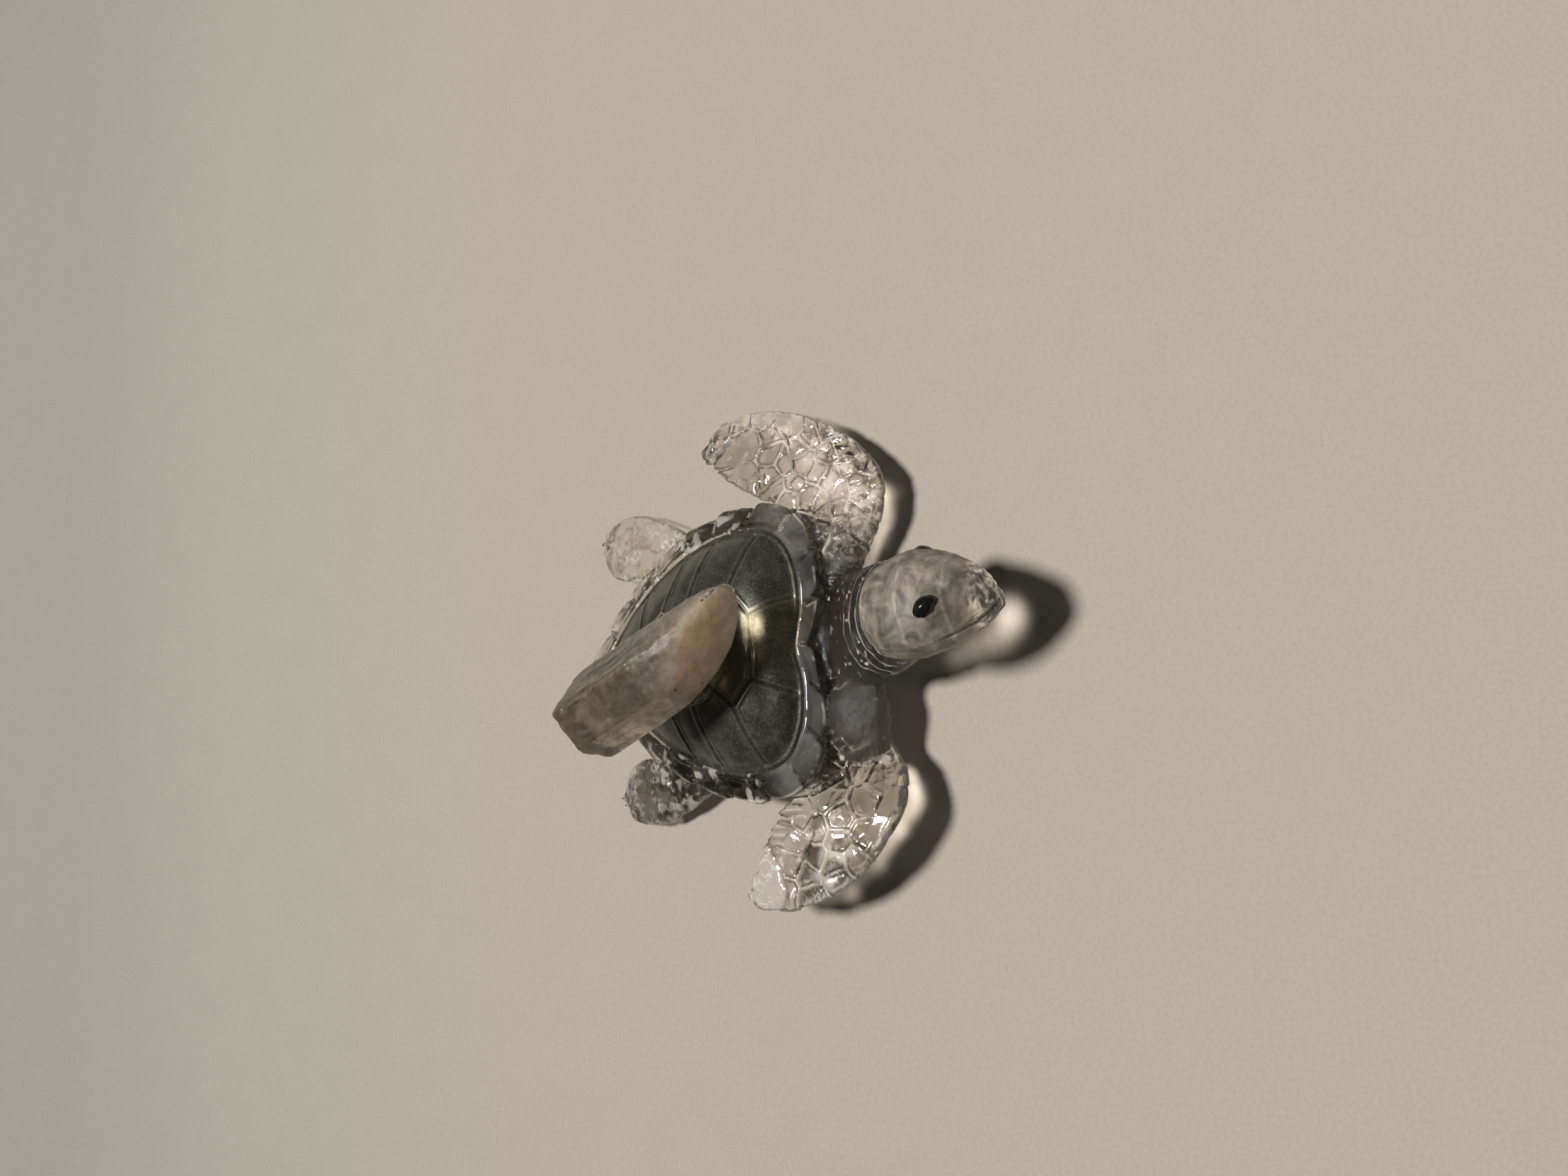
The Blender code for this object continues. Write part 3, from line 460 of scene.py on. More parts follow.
def plan_ring(size, shares):
    """The shell's outline at one size, from the nape round by the left side."""
    width, front, rear = size
    half = [(x * width / 2, front + y * (rear - front)) for x, y in OUTLINE]
    curve = closed_curve(half + [(0.0, rear)] + [(-x, y) for x, y in reversed(half[1:])], OUTLINE_STEPS)
    around = np.vstack([curve, curve[:1]])
    lengths = np.concatenate([[0], np.cumsum(np.linalg.norm(np.diff(around, axis=0), axis=1))])
    target = np.asarray(shares) * lengths[-1]
    return np.stack([np.interp(target, lengths, around[:, k]) for k in (0, 1)], axis=1)


def inset(size, amount):
    return size[0] - 2 * amount, size[1] + amount, size[2] - amount


def grown(ring, amount):
    along = np.roll(ring, -1, axis=0) - np.roll(ring, 1, axis=0)
    outward = np.stack([along[:, 1], -along[:, 0]], axis=1)
    outward /= np.linalg.norm(outward, axis=1)[:, None]
    return ring + outward * np.asarray(amount).reshape(-1, 1)


def along_shell(y, ends):
    t = np.clip((y - RIM[1]) / (RIM[2] - RIM[1]), 0.0, 1.0)
    return ends[0] + (ends[1] - ends[0]) * t


def raised(ring, height):
    z = np.broadcast_to(height, len(ring))
    return np.column_stack([ring, z])


def dome_height(share, edge):
    return edge + (CAP_TOP_HEIGHT - edge) * (1 - share ** DOME_POWER)


def torso():
    """Belly, flanks and saw-toothed rim, and the core that the cap sits on."""
    part = np.linspace(0.0, 1.0, POINTS_PER_MARGINAL, endpoint=False)
    shares = (np.arange(MARGINALS)[:, None] + part[None, :]).ravel() / MARGINALS
    steps = np.tile(np.interp(part, *zip(*MARGINAL_PROFILE)), MARGINALS) - MARGINAL_STEP
    belly = plan_ring(BELLY, shares)
    rim = grown(plan_ring(RIM, shares), steps)
    under = plan_ring(inset(RIM, RIM_OVERHANG), shares)
    cap = plan_ring(CAP, shares)
    land = grown(cap, RIM_LAND)
    edge = along_shell(cap[:, 1], CAP_EDGE_HEIGHT)
    rim_at = along_shell(rim[:, 1], RIM_EDGE_HEIGHT)
    bulge = grown(belly, BELLY_BULGE)
    flank = bulge + (under - bulge) * FLANK_SPREAD
    sides = [
        raised(belly, 0.0), raised(bulge, BELLY_BULGE_HEIGHT),
        raised(flank, along_shell(flank[:, 1], RIM_EDGE_HEIGHT) * FLANK_RISE),
        raised(under, along_shell(under[:, 1], RIM_EDGE_HEIGHT) - RIM_THICKNESS),
        raised(rim, rim_at - RIM_THICKNESS / 2), raised(rim, rim_at + RIM_THICKNESS / 4),
    ]
    for inward, rise in RIM_SLOPE:
        ring = rim + (land - rim) * inward
        top = along_shell(ring[:, 1], RIM_EDGE_HEIGHT) + RIM_THICKNESS / 2
        sides.append(raised(ring, (1 - rise) * top + rise * along_shell(ring[:, 1], CAP_EDGE_HEIGHT)))
    sides += [raised(land, edge + LAND_RISE), raised(cap, edge + SEAT_RISE)]
    sides.append(raised(plan_ring(inset(CAP, SEAT_INSET), shares), edge - SEAT_DEPTH))
    crest = np.array(CAP_CREST)
    for share in CORE_SHARES:
        ring = crest + (cap - crest) * share
        sides.append(raised(ring, dome_height(share, edge) - CAP_WALL / 2))
    rings = []
    for lower, upper in zip(sides, sides[1:]):
        rings += [lower, (lower + upper) / 2]
    return loft(rings + sides[-1:])


def neck():
    rings = []
    turn = full_turn(NECK_SIDES)
    for step in range(NECK_RINGS + 1):
        y, x, z, wide, high = open_curve(NECK, step / NECK_RINGS)
        ring = np.column_stack([x + wide * np.cos(turn), np.full(NECK_SIDES, y), z + high * np.sin(turn)])
        rings.append(np.maximum(ring, (-np.inf, -np.inf, 0.0)))
    return loft(rings)


def head_frame():
    turned = Matrix.Translation(HEAD_MIDDLE) @ rotation(HEAD_TURN, "Z")
    return turned @ rotation(HEAD_NOD, "X") @ rotation(HEAD_ROLL, "Y")


def head_station(share, angle):
    """A point of the head in its own frame, the angle counted from the top towards its left."""
    stations = np.asarray(HEAD_STATIONS)
    wide, high, drop = (np.interp(share, stations[:, 0], stations[:, k]) for k in (1, 2, 3))
    width, length, height = HEAD_SIZE
    return np.array((
        width / 2 * wide * math.sin(angle), length * (0.5 - share),
        height / 2 * (high * math.cos(angle) - drop),
    ))


def head():
    rings = []
    turn = full_turn(HEAD_SIDES)
    for step in range(HEAD_RINGS + 1):
        share, wide, high, drop = open_curve(HEAD_STATIONS, step / HEAD_RINGS)
        ring = np.column_stack([
            HEAD_SIZE[0] / 2 * wide * np.sin(turn), np.full(HEAD_SIDES, HEAD_SIZE[1] * (0.5 - share)),
            HEAD_SIZE[2] / 2 * (high * np.cos(turn) - drop),
        ])
        rings.append(moved(ring, head_frame()))
    return loft(rings)


def shoulder():
    turn = full_turn(SHOULDER_SIDES)
    rings = []
    for lift in np.linspace(-math.pi / 2, math.pi / 2, SHOULDER_RINGS)[1:-1]:
        out, up = math.cos(lift), math.sin(lift)
        flat = np.column_stack([np.cos(turn) * out, np.sin(turn) * out, np.full(SHOULDER_SIDES, up)])
        rings.append(flat * np.array(SHOULDER_SIZE) / 2 + SHOULDER_MIDDLE)
    return loft(rings)


def left_blade(t):
    """Height of the blade's middle, leading and trailing thickness; this one comes down to the table."""
    rise = ELBOW_RISE * math.sin(math.pi * min(t / 0.6, 1.0))
    fall = max(0.0, (t - 0.25) / 0.75) ** 1.3
    return ROOT_HEIGHT + rise - TIP_FALL * fall, *tapered(FRONT_THICKNESS, t)


def right_blade(t):
    """The same of the other front flipper, which is held up level."""
    return ROOT_HEIGHT + RIGHT_LIFT * smooth_step(t, 0.12, 0.42), *tapered(FRONT_THICKNESS, t)


def rear_blade(t):
    return tapered(REAR_BLADE, t)


def blade(chords, side, section, shift=0.0, teeth=0.0, depth=0.0, salt=0):
    """A flipper through its chords, its trailing edge torn or toothed, and each point's place on it."""
    rings = []
    places = []
    turn = full_turn(BLADE_SIDES)
    u = (1 - np.cos(turn)) / 2
    sine = np.round(np.sin(turn), 6)
    bulge = np.sign(sine) * np.abs(sine) ** BLADE_FULLNESS
    for step in range(BLADE_STEPS + 1):
        t = step / BLADE_STEPS
        lead_x, lead_y, trail_x, trail_y = open_curve(chords, t)
        along = np.array((trail_x - lead_x, trail_y - lead_y))
        unit = along / np.linalg.norm(along)
        tooth = (trail_x / teeth) % 1.0 if teeth else 0.5
        wobble = rough(np.array([[t * 30.0, salt, 0.0]]), 1.1, salt)[0]
        reach = depth * (tooth - 0.6 + 0.25 * wobble) * min(t / 0.3, 1.0)
        trail = np.array((trail_x, trail_y)) + unit * reach
        middle, thick_lead, thick_trail = section(t)
        thick = (thick_lead + (thick_trail - thick_lead) * u) / 2
        plan = np.array((lead_x, lead_y)) + (trail - (lead_x, lead_y)) * u[:, None]
        torn = np.column_stack([u * 9.0, np.full_like(u, salt), np.zeros_like(u)])
        plan = plan + np.outer(TIP_TEAR * smooth_step(t, 0.86, 1.0) * rough(torn, 1.3, salt), (0.0, 1.0))
        height = np.maximum(0.0, middle + thick * bulge)
        rings.append(np.column_stack([side * plan[:, 0], plan[:, 1] + shift, height]))
        places += [(t, v) for v in u]
    points, faces = loft(rings)
    return (points, faces), np.array(places + [(0.0, 0.5), (1.0, 0.5)])


def mesh_arrays(mesh):
    count = len(mesh.vertices)
    points = np.empty(count * 3)
    mesh.vertices.foreach_get("co", points)
    normals = np.empty(count * 3)
    mesh.vertex_normals.foreach_get("vector", normals)
    return points.reshape(-1, 3), normals.reshape(-1, 3)


def set_points(mesh, points):
    mesh.vertices.foreach_set("co", np.ascontiguousarray(points).ravel())
    mesh.update()


def remeshed(name, solids, step):
    """One closed skin of even small faces around the given overlapping solids."""
    points, faces = [], []
    base = 0
    for solid_points, solid_faces in solids:
        points.append(solid_points)
        faces += [tuple(base + i for i in face) for face in solid_faces]
        base += len(solid_points)
    rough_mesh = bpy.data.meshes.new(name + "_blank")
    rough_mesh.from_pydata(np.vstack(points).tolist(), [], faces)
    holder = shown(name + "_blank", rough_mesh)
    wrap = holder.modifiers.new("wrap", "REMESH")
    wrap.mode = "VOXEL"
    wrap.voxel_size = step
    view = bpy.context.evaluated_depsgraph_get()
    skin = bpy.data.meshes.new_from_object(holder.evaluated_get(view))
    skin.name = name
    bpy.data.objects.remove(holder)
    bpy.data.meshes.remove(rough_mesh)
    return skin


def relaxed(mesh, rounds, keep=0.53, shares=None):
    """Evens out the steps of the skin without shrinking it, or rounds it off by each point's own share."""
    edges = np.empty(len(mesh.edges) * 2, dtype=np.int64)
    mesh.edges.foreach_get("vertices", edges)
    a, b = edges.reshape(-1, 2).T
    points = mesh_arrays(mesh)[0]
    count = np.bincount(a, minlength=len(points)) + np.bincount(b, minlength=len(points))
    for k in range(rounds * 2):
        factor = 0.5 * shares[:, None] if shares is not None else 0.5 if k % 2 == 0 else -keep
        middle = np.stack([
            np.bincount(a, points[b, axis], len(points)) + np.bincount(b, points[a, axis], len(points))
            for axis in range(3)
        ], axis=1) / count[:, None]
        points = points + factor * (middle - points)
    set_points(mesh, points)


def finished(name, mesh, node, made, bevel_angle=None):
    """Turns a mesh from millimetres into metres and puts it in the place of its CAD node."""
    set_points(mesh, mesh_arrays(mesh)[0] * MM)
    mesh.shade_smooth()
    if bevel_angle:
        mesh.set_sharp_from_angle(angle=math.radians(bevel_angle))
    mesh.materials.clear()
    mesh.materials.append(made)
    piece = shown(name, mesh)
    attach(piece, "root")
    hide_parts(node)
    return piece


def store(mesh, name, values):
    layer = mesh.attributes.new(name, "FLOAT", "POINT")
    layer.data.foreach_set("value", np.asarray(values, dtype=np.float32))


def small_plates(points, size, salt):
    """Relief of faint random plates that each lean their own way."""
    names, border, offset = scattered_cells(points, size, salt)
    code = np.column_stack([names * 1e6, names * 3e5, names * 7e4]).astype(np.int64)
    leans = [(hashed(code, salt + 11 + k) - 0.5) * 2 * PLATE_RELIEF for k in range(points.shape[1])]
    lean = sum(slope * offset[:, k] for k, slope in enumerate(leans))
    dome = PLATE_RELIEF * (1 - np.exp(-border / 0.5))
    return dome - PLATE_RELIEF * ridge(border, 0.15) + np.clip(lean, -0.25, 0.25)


def placed_plates(plan, seeds):
    """The plate under each point, written as a cell, the distance to its border, and the offset from it."""
    nearest, border, offset = cells(plan, np.asarray(seeds))
    return np.column_stack([nearest, np.zeros_like(nearest), np.zeros_like(nearest)]), border, offset


def tilted(names, offset, salt):
    """Height of each point on plates that all lean their own way."""
    return sum((hashed(names, salt + k) - 0.5) * 2 * offset[:, k] for k in (0, 1))


def right_flipper_looks(own, t, u, plan, broken, root, top, tone, pale):
    """Adds what only the right front flipper has: wrinkled band, frayed edge, slit and smooth strip, each
    with its painted shade and painted highlights, and a painted highlight streak.
    """
    band = until(u, *BAND_ACROSS) * until(t, *BAND_ALONG)
    wrinkled = np.maximum(band * until(t, 0.20, 0.32), root * until(u, 0.4, 0.5))
    curls = rough(own, 0.55, 35)
    top = over(top, band, 0.05 * noise(own, 1.2, 36)) + 0.12 * wrinkled * rough(own, 0.6, 37)
    # Painted shade over the wrinkled band and in its curls, a painted shade line behind the band, and painted
    # glints on the curls
    tone = over(tone, band, 0.42)
    tone *= 1 - 0.55 * ridge(u - 0.20 - 0.01 * noise(own, 1.0, 38), 0.012) * (t < 0.5)
    tone *= 1 - 0.65 * wrinkled * ridge(curls, 0.16)
    pale = pale * (1 - band) + 0.55 * wrinkled * ridge(curls - 0.3, 0.07)
    # Painted highlight along the leading edge
    edge = ridge(u - 0.05, 0.022) * smooth_step(t, 0.10, 0.16) * until(t, 0.5, 0.58)
    top += 0.10 * edge
    pale += 0.9 * edge * smooth_step(noise(own, 0.8, 39), -0.2, 0.3)

    frayed = smooth_step(u + 0.12 * (t - 0.6), 0.80, 0.83) * smooth_step(t, 0.25, 0.4)
    tooth = (plan[:, 0] / (TRAIL_PLATE / 2) + 0.25 * noise(own, 1.4, 33)) % 1.0
    top = over(top, frayed, 0.16 * tooth - 0.08 + 0.06 * noise(own, 0.6, 34))
    # Painted shade and painted highlights on the frayed plates
    tone *= 1 - 0.5 * frayed * smooth_step(tooth, 0.55, 0.95)
    pale = over(pale, frayed, 0.6 * ridge(tooth - 0.42, 0.10) * broken)

    length = np.sqrt(np.clip(1 - ((t - SLIT_ALONG) / SLIT_HALF_LENGTH) ** 2, 0.0, 1.0))
    across = u - SLIT_ACROSS + SLIT_SLOPE * (t - SLIT_ALONG)
    slit = smooth_step(SLIT_HALF_WIDTH * length - np.abs(across), -0.006, 0.008) * (length > 0)
    top -= 0.20 * slit
    # Painted shade inside the slit, a painted highlight along its edge, and a painted highlight streak
    tone *= 1 - 0.85 * slit
    pale = pale * (1 - slit) + 0.8 * ridge(across - 0.034, 0.009) * (length > 0.2)
    highlight_streak = ridge(u - STREAK_ACROSS + STREAK_SLOPE * (t - STREAK_ALONG), 0.010)
    pale += 0.8 * highlight_streak * smooth_step(t, 0.66, 0.70) * until(t, 0.84, 0.88)

    past = t + STRIP_SLOPE * u
    strip = smooth_step(past, 0.93, 0.96) * smooth_step(t, 0.66, 0.7)
    top = over(top, strip, 0.10 + 0.03 * noise(own, 0.9, 41))
    # Painted light over the smooth strip, a painted shade line at its start, and painted glints on it
    tone = over(tone, strip, 0.95)
    tone *= 1 - 0.6 * ridge(past - STRIP_START, 0.008) * (t > 0.66)
    return top, tone, over(pale, strip, 0.18 + 0.6 * ridge(rough(own, 1.2, 42), 0.08))


def left_flipper_looks(own, t, u, plan, broken, elbow, top, tone, pale):
    """Adds what only the left front flipper has: smooth band, rough edge, tiled elbow and a fold, with
    painted light on the band, the elbow's leaning tiles and the fold, and painted shade on the other tiles.
    """
    band = smooth_step(t, 0.60, 0.66) * until(u, 0.22, 0.25)
    top = over(top, band, 0.12 + 0.05 * noise(own, 0.9, 14))
    # Painted light over the smooth band, painted highlight streaks in it, and a painted highlight line at its
    # inner edge
    tone = over(tone, band, 0.86)
    pale = over(pale, band, 0.16 + 0.4 * ridge(rough(own * (1.0, 0.4, 1.0), 0.9, 15), 0.08))
    pale += 0.8 * ridge(u - 0.255, 0.012) * smooth_step(t, 0.58, 0.64) * broken
    frayed = smooth_step(u, 0.80, 0.90) * smooth_step(t, 0.3, 0.5)
    top += frayed * 0.10 * noise(own, 0.6, 17)

    names, edge, offset = scattered_cells(np.column_stack([t, u]) * ELBOW_TILES, 1.0, 18)
    top = over(top, elbow, 0.26 * np.minimum(edge, 0.35) / 0.35 - 0.13)
    # Painted highlights on the tiles that lean one way, painted shade on their borders and on the darker
    # tiles
    lit = smooth_step(names, 0.45, 0.75) * smooth_step(offset[:, 0] + 0.5 * offset[:, 1], -0.25, 0.25)
    tone *= 1 - 0.88 * elbow * np.maximum(ridge(edge, 0.10), 0.7 * smooth_step(0.4 - names, 0.0, 0.15))
    pale = np.maximum(pale, 0.9 * elbow * lit)

    point, across, middle, half_length, half_width = ROOT_FOLD
    fold = ridge((plan - point) @ across, half_width)
    fold *= np.exp(-(((plan[:, 0] - middle) / half_length) ** 2) ** 2) * (u < 0.6)
    top += 0.30 * fold
    # Painted highlight along the fold
    return top, tone, np.maximum(pale * (1 - fold), 0.85 * fold)


def flipper_looks(own, t, u, up, side):
    """Relief, pale lines, tone and grit of one front flipper's skin; the pale lines are painted highlights
    and the tone carries painted shade.
    """
    seeds, shade_spots, lights, salt = FRONT_SKIN[side]
    right = side < 0
    plan = own[:, :2] * (side, 1)
    names, border, offset = placed_plates(plan + 0.25 * noise(own, 1.3, salt)[:, None], seeds)
    tilt = tilted(names, offset, salt)
    facet = smooth_step(tilt + 0.3 * noise(own, 0.9, salt + 40), -0.5, 0.9)
    broken = smooth_step(noise(own, 1.5, salt + 32) + 0.5 * noise(own, 0.6, salt + 35), -0.30, 0.40)
    top = 0.15 * ridge(border, 0.15) - 0.07 * ridge(border - 0.34, 0.16) + 0.08 * np.minimum(border, 1.0)
    top += np.clip(0.18 * tilt, -0.25, 0.25) + 0.05 * noise(own, 1.1, salt + 12)
    # Random tone of each plate, and painted shade on the lower side of each leaning plate
    tone = 1.06 - (0.34 if right else 0.22) * hashed(names, salt + 30)
    tone *= (0.80 + 0.24 * facet) * (0.94 + 0.16 * rough(own, 1.4, salt + 31))
    # Painted shade: dark spots, and dark lines beside the plates' borders
    for *place, dark in shade_spots:
        tone *= 1 - dark * np.exp(-squared_away(plan, *place) ** 1.5)
    tone *= 1 - 0.92 * ridge(border - 0.23, 0.13) * smooth_step(noise(own, 1.9, salt + 36), -0.6, 0.2)
    # Painted highlights along the plates' borders, and painted glints
    pale = 0.95 * ridge(border, 0.10) * broken
    glint = ridge(rough(own * (1.0, 1.0, 0.3), 1.1, salt + 33), 0.05)
    pale += 0.7 * glint * smooth_step(noise(own, 2.6, salt + 34), -0.1, 0.5)
    # Painted light where light gathers, stronger on the raised side of each plate
    lit = smooth_step(tilt + 0.35 * noise(own, 0.7, salt + 44), -0.1, 0.4)
    gathered = spots(plan, lights) * (0.12 + 0.88 * lit)
    root = until(t, 0.10, 0.34)
    if right:
        busy = 0.9 * root
        pale += gathered
        top, tone, pale = right_flipper_looks(own, t, u, plan, broken, root, top, tone, pale)
    else:
        elbow = until(u, 0.22, 0.40) * smooth_step(t, 0.12, 0.2) * until(t, 0.46, 0.58)
        busy = np.maximum(0.9 * root, elbow)
        bars = rough(np.column_stack([t * 26.0, u * 4.0, 0 * t]), 1.0, salt + 37)
        pale += gathered * (0.35 + 0.95 * smooth_step(bars, -0.15, 0.30))
        top, tone, pale = left_flipper_looks(own, t, u, plan, broken, elbow, top, tone, pale)
    # Painted highlight along the leading edge
    edge = 0.40 * until(u, 0.03, 0.08) * smooth_step(t, 0.1, 0.2)
    pale = np.maximum(pale, edge * (0.6 + 0.4 * noise(own, 0.7, salt + 43)))
    # Painted shade and painted sparkle in patches at the root and the elbow
    patches = rough(own * (1.0, 0.7, 1.0), 0.75, salt + 39)
    tone *= 1 - 0.85 * busy * smooth_step(-patches, 0.10, 0.40)
    pale = np.maximum(pale, 0.95 * busy * smooth_step(patches, 0.45, 0.75))
    relief = over(small_plates(plan, 2.4, salt + 20), up, top)
    relief += (0.008 + 0.10 * root) * rough(own, 0.6, salt + 9)
    return relief, np.clip(pale, 0.0, 0.95) * up, np.where(up > 0.5, tone, 1.0), 0.12 + 0.8 * root


def rear_looks(own, t, up, right):
    """The same of one rear flipper: bubbles with painted highlights, painted shade in streaks, and a rougher
    root on the right one with more painted shade and highlights.
    """
    salt = 47 if right else 41
    offset = scattered_cells(own[:, :2], 1.35, salt, 0.9)[2]
    bubble = ridge(np.linalg.norm(offset, axis=1) - 0.42, 0.13)
    bubble *= smooth_step(noise(own, 1.6, salt + 6), -0.2, 0.5)
    relief = 0.06 * bubble + 0.10 * noise(own, 1.6, salt + 4) + 0.02 * rough(own, 0.9, salt + 5)
    # Painted shade in streaks, and painted highlights on the bubbles and the facets; the right root gets more
    # of both
    facet = smooth_step(rough(own, 0.9, salt + 8), 0.25, 0.55)
    tone = 1 - 0.5 * ridge(rough(own, 1.5, salt + 9), 0.12)
    line = (0.35 + 0.3 * facet) * bubble * up
    if right:
        near = t < 0.55
        relief += 0.12 * noise(own, 0.9, salt + 10) * near
        tone *= np.where(near, 0.85 - 0.6 * smooth_step(-rough(own, 1.1, salt + 11), 0.2, 0.5), 0.85)
        line = np.maximum(line, np.where(near, 0.45, 0.2) * facet * up)
    return relief, line, tone, 0.15


def neck_looks(own):
    """The same of the neck: saw-shaped folds that ring the head, with painted highlights on their edges and
    painted sparkles.
    """
    share, across, upward = head_coordinates(own)
    width, _, height = HEAD_SIZE
    reach = np.sqrt((2 * share - 1) ** 2 + (2 * across / width) ** 2 + (2 * upward / height) ** 2)
    fold = (reach - 1) * 5.5 / FOLD_STEP + 0.45 * noise(own, 2.6, 52) + 0.16 * noise(own, 1.0, 53)
    saw = fold % 1.0
    tooth = np.where(saw < 0.75, saw / 0.75, (1 - saw) / 0.25)
    strength = until(fold, 3.2, 5.0)
    relief = 0.36 * (tooth - 0.5) * strength + 0.05 * rough(own, 0.7, 55)
    broken = smooth_step(noise(own, 0.7, 56) + 0.6 * noise(own, 2.0, 57), -0.2, 0.35)
    # Painted sparkles, and painted highlights on the folds' edges
    sparkle = smooth_step(noise(own, 0.34, 58), 0.52, 0.72) * smooth_step(noise(own, 2.0, 59), -0.3, 0.3)
    line = ridge(saw - 0.75, 0.07) * strength * (0.3 + 0.7 * broken) + 0.8 * sparkle
    return relief, np.clip(line, 0.0, 0.95), BODY_TONE, 0.9


def head_looks(own):
    """The same of the head: two cross lines, a line along the cheek, a mouth, a rough beak and nape, with
    painted glints on the beak and the nape.
    """
    share, across, upward = head_coordinates(own)
    wave = 0.03 * noise(own, 2.0, 61) + 0.012 * noise(own, 0.8, 62)
    lines = sum(ridge(share - at - wave, 0.014) for at in (0.40, 0.72))
    lines += 0.7 * ridge(upward + 0.4 - 6 * wave, 0.12)
    lumps = 0.10 * noise(own, 3.1, 63) + 0.035 * noise(own, 1.2, 64)
    mouth = ridge(upward + 0.9 + 0.25 * np.sin(share * 9), 0.16)
    mouth *= smooth_step(share, 0.60, 0.68) * (np.abs(across) > 0.6)
    beak = smooth_step(share, 0.80, 0.92)
    relief = 0.06 * lines + lumps - 0.28 * mouth
    relief += beak * 0.10 * rough(own, 0.8, 66) + 0.02 * rough(own, 0.6, 67)
    # Painted glints on the beak and the nape
    nape = smooth_step(0.10 - share, -0.04, 0.06)
    glints = 1.15 * beak * ridge(rough(own, 0.9, 69), 0.14) + 0.8 * nape * ridge(rough(own, 0.7, 70), 0.12)
    line = 0.35 * lines * smooth_step(noise(own, 1.7, 68), -0.5, 0.3) + 0.8 * glints
    return relief, line, BODY_TONE, SMOOTH_GRIT


def shoulder_looks(own, up):
    """The same of the right front flipper's thick root: painted shade over it, and painted highlights on its
    creases.
    """
    creases = rough(own * (1.0, 0.6, 1.0), 1.5, 79)
    relief = 0.08 * rough(own, 0.8, 80) - 0.12 * ridge(creases, 0.12) * up
    # A low tone of painted shade, and painted highlights on the creases
    return relief, (0.04 + 0.4 * ridge(creases - 0.2, 0.04)) * up, 0.50, 1.2


def torso_looks(points, normals):
    """The same of the torso: marginal scutes framed with painted highlights, painted shade and light over the
    rim, wrinkled shoulders, and a plain belly.
    """
    shares = np.arange(MARGINALS * 8) / (MARGINALS * 8)
    rim = plan_ring(RIM, shares)
    land = grown(plan_ring(CAP, shares), RIM_LAND)
    plan = points[:, :2] + 0.12 * np.column_stack([noise(points, 1.7, 72), noise(points, 1.7, 73)])
    to_side = to_segments(plan, np.stack([rim[::8], land[::8]], axis=1))
    to_outer, to_inner = (
        to_segments(plan, np.stack([ring, np.roll(ring, -1, axis=0)], axis=1)) for ring in (rim, land)
    )
    on_top = smooth_step(normals[:, 2], 0.25, 0.55) * (points[:, 2] > 3.0)
    inside = np.minimum(np.minimum(to_side, to_outer), to_inner)
    scute = 0.10 * (1 - np.exp(-inside / 0.35)) - 0.20 * ridge(to_side, 0.12)
    scute += 0.04 * ridge(to_outer - 0.25, 0.18) - 0.05 * ridge(to_inner, 0.2)
    # Painted highlights on the scutes' frames
    frame_line = 0.8 * ridge(to_side - 0.16, 0.07) + 0.7 * ridge(to_outer - 0.35, 0.07)
    broken = smooth_step(noise(points, 1.2, 74) + 0.5 * noise(points, 0.5, 76), -0.15, 0.45)
    pale = frame_line * on_top * broken
    names, _, offset = placed_plates(points[:, :2], (rim[4::8] + land[4::8]) / 2)
    tilt = tilted(names, offset, 85)
    # Painted shade and light on the rim: darker on the low side of each leaning scute and in its seams,
    # lighter on top at the front, darker underneath at the front, with painted glints towards the back
    facet = smooth_step(tilt + 0.4 * noise(points, 1.1, 87), -0.8, 0.9)
    front = smooth_step(-points[:, 1], 6.0, 10.0)
    tone = np.where(on_top > 0.3, 0.55 + 0.40 * facet + 0.25 * front * (1 - facet), 0.8 - 0.2 * front)
    tone *= 1 - 0.5 * ridge(to_side, 0.10) * on_top
    pale += 0.17 * on_top * front * (0.5 + 0.5 * facet)
    pale += 0.5 * on_top * (1 - front) * facet * smooth_step(rough(points, 1.0, 88), 0.25, 0.5)
    relief = on_top * (scute + 0.03 * noise(points, 1.2, 71) + np.clip(0.12 * tilt, -0.2, 0.2) * (1 - front))
    side = (1 - on_top) * smooth_step(points[:, 2], 0.4, 1.4)
    shoulders = smooth_step(-points[:, 1], 9.0, 12.0)
    wrinkle = small_plates(points, 1.7, 75) + (0.015 + 0.05 * shoulders) * rough(points, 0.7, 77)
    return relief + side * wrinkle, pale, tone, SMOOTH_GRIT


def part_looks(part, own, normals, t, u, up):
    """Relief, pale lines, tone and grit of one part's skin; the pale lines carry painted highlights and the
    tone painted shade.
    """
    if part in (LEFT_FRONT, RIGHT_FRONT):
        return flipper_looks(own, t, u, up, 1 if part == LEFT_FRONT else -1)
    if part in (LEFT_REAR, RIGHT_REAR):
        return rear_looks(own, t, up, part == RIGHT_REAR)
    if part == TORSO:
        return torso_looks(own, normals)
    if part == NECK_PART:
        return neck_looks(own)
    return head_looks(own) if part == HEAD_PART else shoulder_looks(own, up)


def resin_looks(points, normals, owner, place):
    """Relief of the casting's skin, and its milkiness, pale lines, tone and grit; the lines hold painted
    highlights and the tone painted shade.
    """
    up = smooth_step(normals[:, 2], -0.15, 0.25)
    found = np.zeros((4, len(points)))
    for part in PARTS:
        here = owner == part
        values = part_looks(part, points[here], normals[here], *place[here].T, up[here])
        for row, value in zip(found, values):
            row[here] = value
    clearer = smooth_step(head_coordinates(points)[0] + 0.05 * noise(points, 2.0, 65), 0.76, 0.90)
    haze = np.where(owner == HEAD_PART, 1.0 - 0.85 * clearer, 0.0)
    relief, line, tone, grit = found
    return relief, {"haze": haze, "line": line, "tone": tone, "grit": grit}


